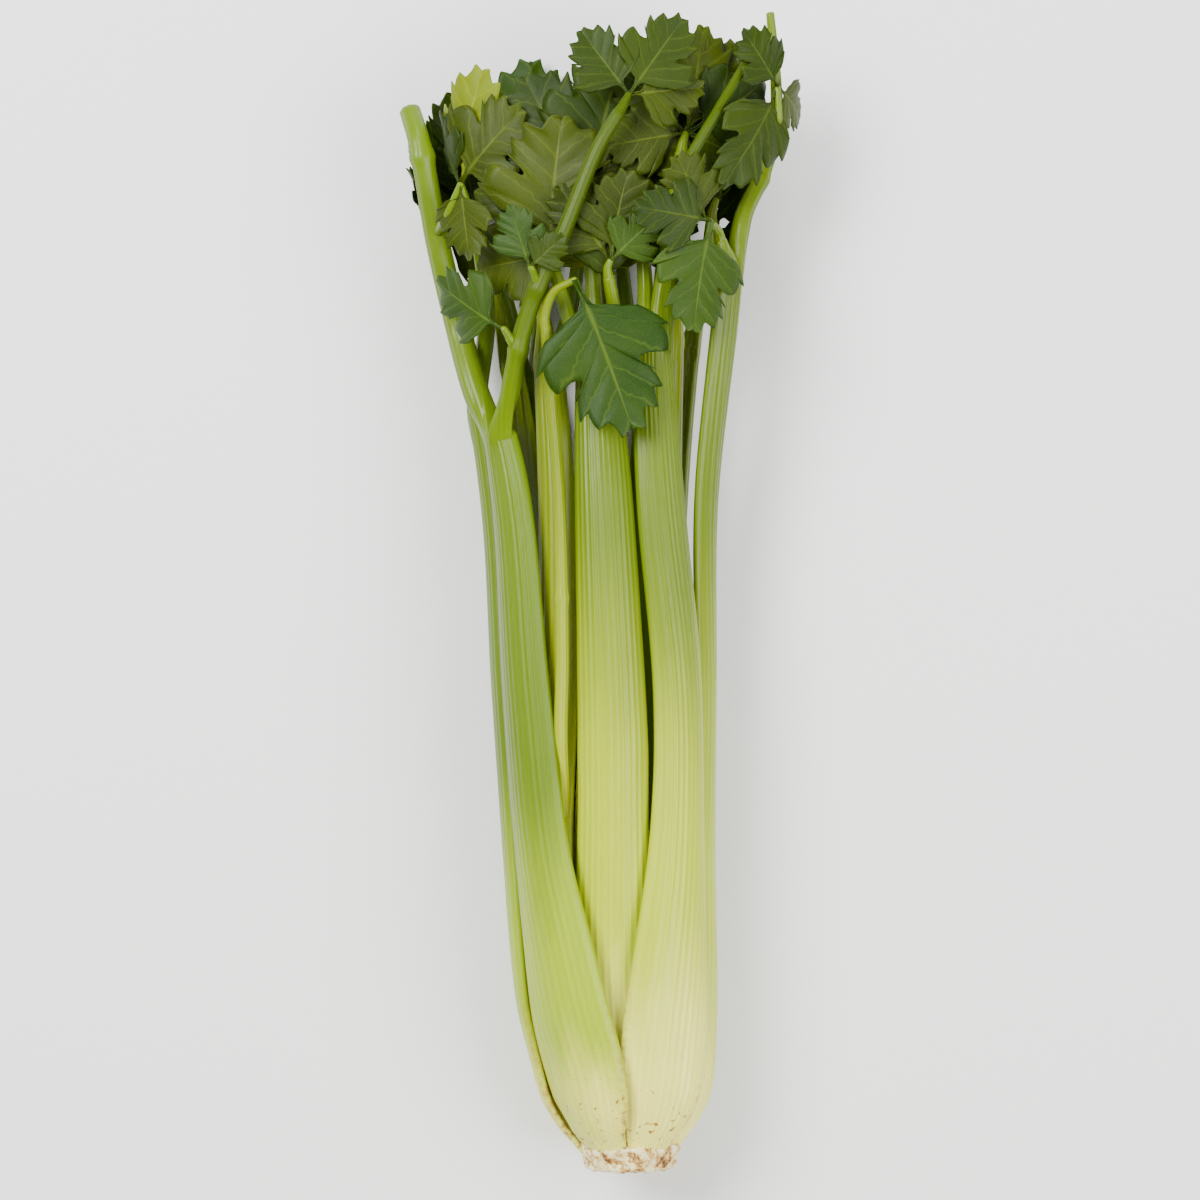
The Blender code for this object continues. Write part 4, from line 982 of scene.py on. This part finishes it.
def lay_leaflet(place, heading, length, finish, deeper, fold, pattern):
    """A copy of a leaflet pattern, bent onto the skin of the head, with its own set of bends and tint."""
    source = TEMPLATES[pattern % len(TEMPLATES)]
    draw = random.Random(f"{heading} {length} {pattern}")
    fold = fold + draw.uniform(*FOLD)
    droop = draw.uniform(*DROOP) - FANNING * deeper
    curl, twist = draw.uniform(*CURL), draw.uniform(*TWIST)
    made = bpy.data.objects.new("leaflet", source.data.copy())
    bpy.context.collection.objects.link(made)
    across, along, rise = (vertex_places(made) * length).T
    bearing, height = steer(place, heading, along, across)
    bends = droop * along**2 + curl * across**2 + twist * across * along
    relief = fold * np.abs(across) + bends / length
    place_vertices(made, on_skin(bearing, height, place[2] + deeper - relief - rise))
    mark(made, "tint", np.full(len(across), draw.random()))
    paint(made, LEAVES[finish])
    only(made)
    wall = made.modifiers.new("wall", "SOLIDIFY")
    wall.thickness = BLADE_THICKNESS
    wall.offset = 0.0
    bpy.ops.object.modifier_apply(modifier=wall.name)
    bpy.ops.object.shade_smooth()
    return made


print("a leaflet's wall:", BLADE_THICKNESS, "m")


# %% What the plan says about a spray
def spray(name, stalk_name, fork_number, places, leaflets, slot="leaf"):
    """A spray at the end of one fork of a stalk, through places to the last, where its leaflets grow."""
    return {
        "name": name, "stalk": stalk_name, "fork": fork_number, "places": places,
        "leaflets": leaflets, "slot": slot,
    }


# How deep and how folded the leaflets of a spray lie, one over the other
LAYERS = ((0.0012, 0.0), (0.0, 0.03), (-0.0012, 0.0), (0.0, 0.0))
print("layers of leaflets in a spray:", len(LAYERS))

# %% The sprays of the stalks in front
# Each leaflet: heading, length, finish and, where it leaves its layer, how deep and how folded it lies
SPRAYS = [
    spray("leaves_fan", "stalk_left", 1, [over(0.0095, 0.3585, 0.0030)], [
        (34, 0.031, "deep", 0.0, 0.08), (-38, 0.027, "deep", 0.0005, 0.08),
        (84, 0.027, "olive", 0.0010, 0.03)]),
    spray("leaf_over_left", "stalk_left", 2, [over(-0.0320, 0.2810, -0.0020)], [
        (-56, 0.031, "bright", 0.0, -0.05)]),
    spray("leaf_on_fork", "stalk_left", 3, [over(-0.0230, 0.3010, -0.0020)], [
        (-12, 0.021, "bright", 0.0, 0.0), (50, 0.016, "deep", -0.0006, 0.0)]),
    spray("leaf_left_front", "stalk_left", 4, [over(-0.0460, 0.3290, -0.0020)], [
        (182, 0.025, "olive", 0.0, 0.03)], "pale_leaf"),
    spray("leaf_hanging", "inner_stalk_left", 0, [
        over(-0.0150, 0.2935, 0.0010), over(-0.0080, 0.2970, -0.0015)], [
        (160, 0.053, "bright", -0.0010, -0.06)]),
    spray("leaves_left", "stalk_far_left", 0, [over(-0.0465, 0.3310, 0.0145)], [
        (16, 0.040, "young"), (50, 0.038, "olive"), (-24, 0.027, "deep", 0.0, 0.0)]),
    spray("leaves_middle_left", "stalk_middle", 0, [over(-0.0165, 0.3060, 0.0105)], [
        (-38, 0.036, "olive"), (6, 0.046, "olive"), (60, 0.034, "deep"), (-98, 0.030, "olive")]),
    spray("leaves_middle", "stalk_middle", 1, [over(-0.0045, 0.3310, 0.0165)], [
        (-32, 0.042, "deep"), (12, 0.046, "deep"), (66, 0.034, "olive"),
        (-100, 0.030, "deep", 0.0004, 0.0), (116, 0.021, "olive", -0.0010, 0.0)]),
    spray("leaves_middle_right", "stalk_middle", 2, [over(0.0035, 0.3040, 0.0065)], [
        (-34, 0.030, "olive"), (8, 0.030, "olive"), (44, 0.021, "bright")]),
    spray("leaves_right_deep", "stalk_right", 0, [over(0.0125, 0.3270, 0.0190)], [
        (-14, 0.036, "deep"), (28, 0.048, "deep"), (58, 0.018, "deep"), (104, 0.028, "deep")]),
    spray("leaves_right", "stalk_right", 1, [over(0.0285, 0.3470, 0.0120)], [
        (-46, 0.032, "deep"), (6, 0.036, "olive"), (56, 0.036, "deep"),
        (30, 0.036, "olive", 0.0006, 0.0), (108, 0.026, "deep", 0.0, 0.0),
        (-100, 0.028, "olive", 0.0006, 0.0)]),
    spray("leaves_far_right", "stalk_far_right", 2, [over(0.0590, 0.3620, -0.0020)], [
        (205, 0.037, "deep", 0.0, 0.0), (-40, 0.024, "deep", 0.0, 0.0),
        (118, 0.020, "olive", -0.0006, 0.0)]),
    spray("leaves_right_low", "stalk_far_right", 1, [over(0.0360, 0.3170, -0.0010)], [
        (188, 0.037, "bright", -0.0012, 0.0), (-34, 0.026, "olive", 0.0012, 0.0),
        (-82, 0.028, "deep")]),
]
print("sprays in front:", len(SPRAYS))

# %% The sprays of the stalks at the back and the side
SPRAYS += [
    spray("leaves_under_middle", "stalk_under_right", 0, [under(0.0065, 0.3170, 0.0180)], [
        (-30, 0.032, "deep"), (4, 0.048, "deep"), (50, 0.038, "olive"), (-86, 0.030, "deep")]),
    spray("leaves_under_right", "stalk_under_right", 1, [under(0.0235, 0.3290, 0.0090)], [
        (-48, 0.036, "deep"), (-4, 0.042, "olive"), (44, 0.038, "deep"), (100, 0.028, "olive")]),
    spray("leaves_under_far_right", "stalk_under_right", 2, [under(0.0390, 0.3190, 0.0040)], [
        (-40, 0.030, "bright"), (-8, 0.044, "deep"), (48, 0.038, "olive"), (-104, 0.026, "bright")]),
    spray("leaves_under_middle_left", "stalk_under_left", 0, [under(-0.0055, 0.3250, 0.0130)], [
        (-46, 0.036, "olive"), (0, 0.044, "deep"), (52, 0.036, "deep"), (104, 0.028, "olive")]),
    spray("leaves_under_left", "stalk_under_left", 1, [under(-0.0225, 0.3370, 0.0050)], [
        (-52, 0.036, "deep"), (2, 0.040, "bright"), (40, 0.030, "deep"), (-100, 0.028, "deep")]),
    spray("leaves_under_far_left", "stalk_under_left", 2, [under(-0.0410, 0.3230, 0.0090)], [
        (-40, 0.034, "olive"), (8, 0.042, "deep"), (62, 0.030, "bright")]),
    spray("leaves_far_left", "stalk_far_left", 1, [(209, 0.3150, 0.0030)], [
        (-50, 0.032, "deep"), (-6, 0.040, "bright"), (32, 0.026, "deep"), (-102, 0.026, "olive")]),
]
print("sprays of the outer stalks:", len(SPRAYS))

# %% The sprays inside the head
SPRAYS += [
    spray("heart_leaves", "heart", 0, [(90, 0.3000, 0.0310)], [
        (-20, 0.024, "young", 0.0, 0.0), (24, 0.028, "young", 0.0010, 0.0)], "pale_leaf"),
    spray("inner_leaves_left", "inner_stalk_left", 1, [over(-0.0225, 0.3270, 0.0220)], [
        (-28, 0.036, "olive", 0.0, 0.0), (30, 0.034, "olive", 0.0010, 0.0)]),
    spray("inner_leaves_right", "inner_stalk_right", 0, [(12, 0.3330, 0.0235)], [
        (-8, 0.024, "olive", 0.0, 0.0), (26, 0.026, "olive", 0.0012, 0.0)]),
    spray("inner_leaves_under_right", "inner_stalk_under_right", 0, [(347, 0.3270, 0.0165)], [
        (-4, 0.024, "olive", 0.0, 0.0), (18, 0.025, "deep", 0.0012, 0.0)]),
    spray("inner_leaves_under", "inner_stalk_under", 0, [under(0.0000, 0.3290, 0.0220)], [
        (-24, 0.036, "olive", 0.0, 0.0), (34, 0.038, "olive", 0.0010, 0.0)]),
    spray("inner_leaves_under_left", "inner_stalk_under_left", 0, [(209, 0.3250, 0.0165)], [
        (-30, 0.034, "olive", 0.0, 0.0), (8, 0.030, "deep", 0.0010, 0.0)]),
]
print("sprays:", len(SPRAYS), "with", sum(len(plan["leaflets"]) for plan in SPRAYS), "leaflets")

# %% Make the sprays
STEM_END_RADIUS = 0.0011
INSIDE_FORK, BEYOND_FORK = 0.0015, 0.0035
STEPS_AT_LEAST, STEPS_PER_PLACE = 8, 4
PATTERN_STEP = 3
plans = {plan["name"]: plan for plan in STALKS}


def make_spray(plan, number):
    stalk_plan = plans[plan["stalk"]]
    fork_plan = stalk_plan["forks"][plan["fork"]]
    line = fork_route(stalk_plan, fork_plan)
    ahead = unit(line[-1] - line[-2])
    points = [line[-1] - INSIDE_FORK * ahead, line[-1] + BEYOND_FORK * ahead]
    points += [on_skin(*place) for place in plan["places"]]
    route = smooth_route(points, STEPS_AT_LEAST + STEPS_PER_PLACE * len(plan["places"]))
    parts = [stem("stalklet", route, (fork_plan["radii"][1], STEM_END_RADIUS))]
    paint(parts[0], fork_plan["skin"] or stalk_plan["skin"])
    for k, (heading, length, finish, *layer) in enumerate(plan["leaflets"]):
        deeper, fold = layer or LAYERS[k]
        place, pattern = plan["places"][-1], number * PATTERN_STEP + k
        parts.append(lay_leaflet(place, heading, length, finish, deeper, fold, pattern))
    piece = join(f"toothed_{plan['name']}", parts)
    take_over(piece, plan["name"])
    return piece


for number, plan in enumerate(SPRAYS):
    made = make_spray(plan, number)
    print(made.name, len(made.data.polygons), "faces")
for template in TEMPLATES:
    bpy.data.objects.remove(template)

# %% [markdown]
# ## The root plate
#
# The knife leaves a rough, pale disc that dries to brown, and the feet of the stalks run into it with a
# ragged edge. It starts as a cylinder. In edit mode its upper end is widened until it covers the feet,
# and its edges are bevelled. Remesh then gives it even faces, so that a Displace modifier with a cloudy
# texture can roughen it all over: where the rough plate dips into a foot, the edge comes out ragged.

# %% Shape the root plate
PLATE_RADIUS, PLATE_HEIGHT, PLATE_FLARE = 0.0150, 0.0092, 1.16
PLATE_BEVEL, PLATE_VOXEL = 0.0014, 0.0005
LUMP_SIZE, LUMP_HEIGHT, LUMP_MIDDLE = 0.0035, 0.0026, 0.60

bpy.ops.object.select_all(action="DESELECT")
middle = (crown_low + crown_high) / 2
half_way = crown_low[1] + PLATE_HEIGHT / 2
bpy.ops.mesh.primitive_cylinder_add(
    vertices=48, radius=PLATE_RADIUS, depth=PLATE_HEIGHT, rotation=(math.radians(90), 0, 0),
    location=(middle[0], half_way, middle[2]))
plate = bpy.context.object
plate.name = plate.data.name = "cut_root_plate"
bpy.ops.object.transform_apply(location=True, rotation=True, scale=True)
bpy.ops.object.mode_set(mode="EDIT")
bpy.ops.mesh.select_all(action="DESELECT")
bpy.ops.object.mode_set(mode="OBJECT")
for vertex in plate.data.vertices:
    vertex.select = vertex.co.y > half_way
bpy.ops.object.mode_set(mode="EDIT")
bpy.ops.transform.resize(
    value=(PLATE_FLARE, 1, PLATE_FLARE), center_override=(middle[0], crown_low[1], middle[2]))
bpy.ops.mesh.select_all(action="SELECT")
bpy.ops.mesh.bevel(offset=PLATE_BEVEL, segments=3)
bpy.ops.object.mode_set(mode="OBJECT")
print(plate.name, "before it is roughened:", len(plate.data.polygons), "faces")

# %% Roughen the root plate
even = plate.modifiers.new("even", "REMESH")
even.mode = "VOXEL"
even.voxel_size = PLATE_VOXEL
bpy.ops.object.modifier_apply(modifier=even.name)
lumps = bpy.data.textures.new("rough cut", "CLOUDS")
lumps.noise_scale = LUMP_SIZE
lumps.noise_depth = 3
rough = plate.modifiers.new("rough", "DISPLACE")
rough.texture = lumps
rough.strength = LUMP_HEIGHT
rough.mid_level = LUMP_MIDDLE
bpy.ops.object.modifier_apply(modifier=rough.name)
bpy.ops.object.shade_smooth()
take_over(plate, "crown")
print(plate.name, len(plate.data.polygons), "faces")


# %% Colour the root plate
ROOT_COLOURS = (
    (0.36, (0.14, 0.055, 0.010, 1)),
    (0.44, (0.48, 0.27, 0.06, 1)),
    (0.51, (0.80, 0.68, 0.30, 1)),
    (0.60, (0.90, 0.84, 0.50, 1)),
)


def ramp(nodes, value, stops):
    """The colour that a ramp with those (place, colour) stops gives a value."""
    node = add(nodes, "ValToRGB", {0: value})
    node.color_ramp.interpolation = "EASE"
    elements = node.color_ramp.elements
    while len(elements) < len(stops):
        elements.new(0.5)
    for element, (place, colour) in zip(elements, stops):
        element.position = place
        element.color = colour
    return node.outputs[0]


cut_root, nodes, inputs = new_material("cut root", Roughness=0.75, Subsurface_Weight=0.05)
cracks = noise(nodes, place_on_object(nodes), 240.0, 5.0, 0.7)
feed(inputs["Base Color"], ramp(nodes, cracks, ROOT_COLOURS))
feed(inputs["Normal"], bump(nodes, cracks, 0.6, 0.0006))
paint(plate, cut_root)
print("material:", cut_root.name)

# %% [markdown]
# ## Floor, light and camera
#
# The head lies on a plain pale table under broad soft lights, one large one from the upper left and
# weaker ones from the right and from behind the leaves, and the camera looks straight down on it.

# %% Floor
bpy.ops.object.select_all(action="DESELECT")
bpy.ops.mesh.primitive_plane_add(size=6, location=(0, 0, 0))
floor = bpy.context.object
floor.name = "floor"
bpy.ops.object.transform_apply(location=True, rotation=True, scale=True)
pale, nodes, inputs = new_material("pale floor", Base_Color=(0.86, 0.86, 0.85, 1), Roughness=0.9)
floor.data.materials.append(pale)
print(floor.name, floor.dimensions.x, "m wide")


# %% Lights
SKY_STRENGTH = 0.6


def soft_light(name, place, aim, size, power):
    bpy.ops.object.light_add(type="AREA", location=place)
    light = bpy.context.object
    light.name = name
    light.data.shape = "DISK"
    light.data.size = size
    light.data.energy = power
    light.rotation_euler = (Vector(aim) - Vector(place)).to_track_quat("-Z", "Y").to_euler()
    return light


key = soft_light("key", (-0.7, 0.5, 1.3), (0, 0, 0), 0.8, 42)
fill = soft_light("fill", (0.9, -0.2, 1.2), (0, 0, 0), 1.0, 26)
back = soft_light("back", (0.0, 1.3, 0.8), (0, 0.1, 0), 0.8, 12)
world = bpy.data.worlds.new("studio")
bpy.context.scene.world = world
world.use_nodes = True
sky = world.node_tree.nodes["Background"].inputs
sky["Color"].default_value = (1, 1, 1, 1)
sky["Strength"].default_value = SKY_STRENGTH
print("lights, in watts:", key.data.energy, fill.data.energy, back.data.energy)

# %% Camera
# The width of the photograph and the row of the root in it, in pixels, and a pixel's size in metres
PHOTO_SIZE, ROOT_ROW = 1200, 1175
PIXEL = 0.3335 / 1000
SENSOR_WIDTH = 36
CAMERA_HEIGHT, HEAD_PLANE = 1.55, 0.05

camera_data = bpy.data.cameras.new("camera")
camera = bpy.data.objects.new("camera", camera_data)
bpy.context.collection.objects.link(camera)
camera_data.sensor_width = SENSOR_WIDTH
camera_data.lens = SENSOR_WIDTH * (CAMERA_HEIGHT - HEAD_PLANE) / (PHOTO_SIZE * PIXEL)
camera.location = (float(SHIFT[0]), (ROOT_ROW - PHOTO_SIZE / 2) * PIXEL + ROOT_Y, CAMERA_HEIGHT)
bpy.context.scene.camera = camera
print("lens:", round(camera_data.lens, 1), "mm")
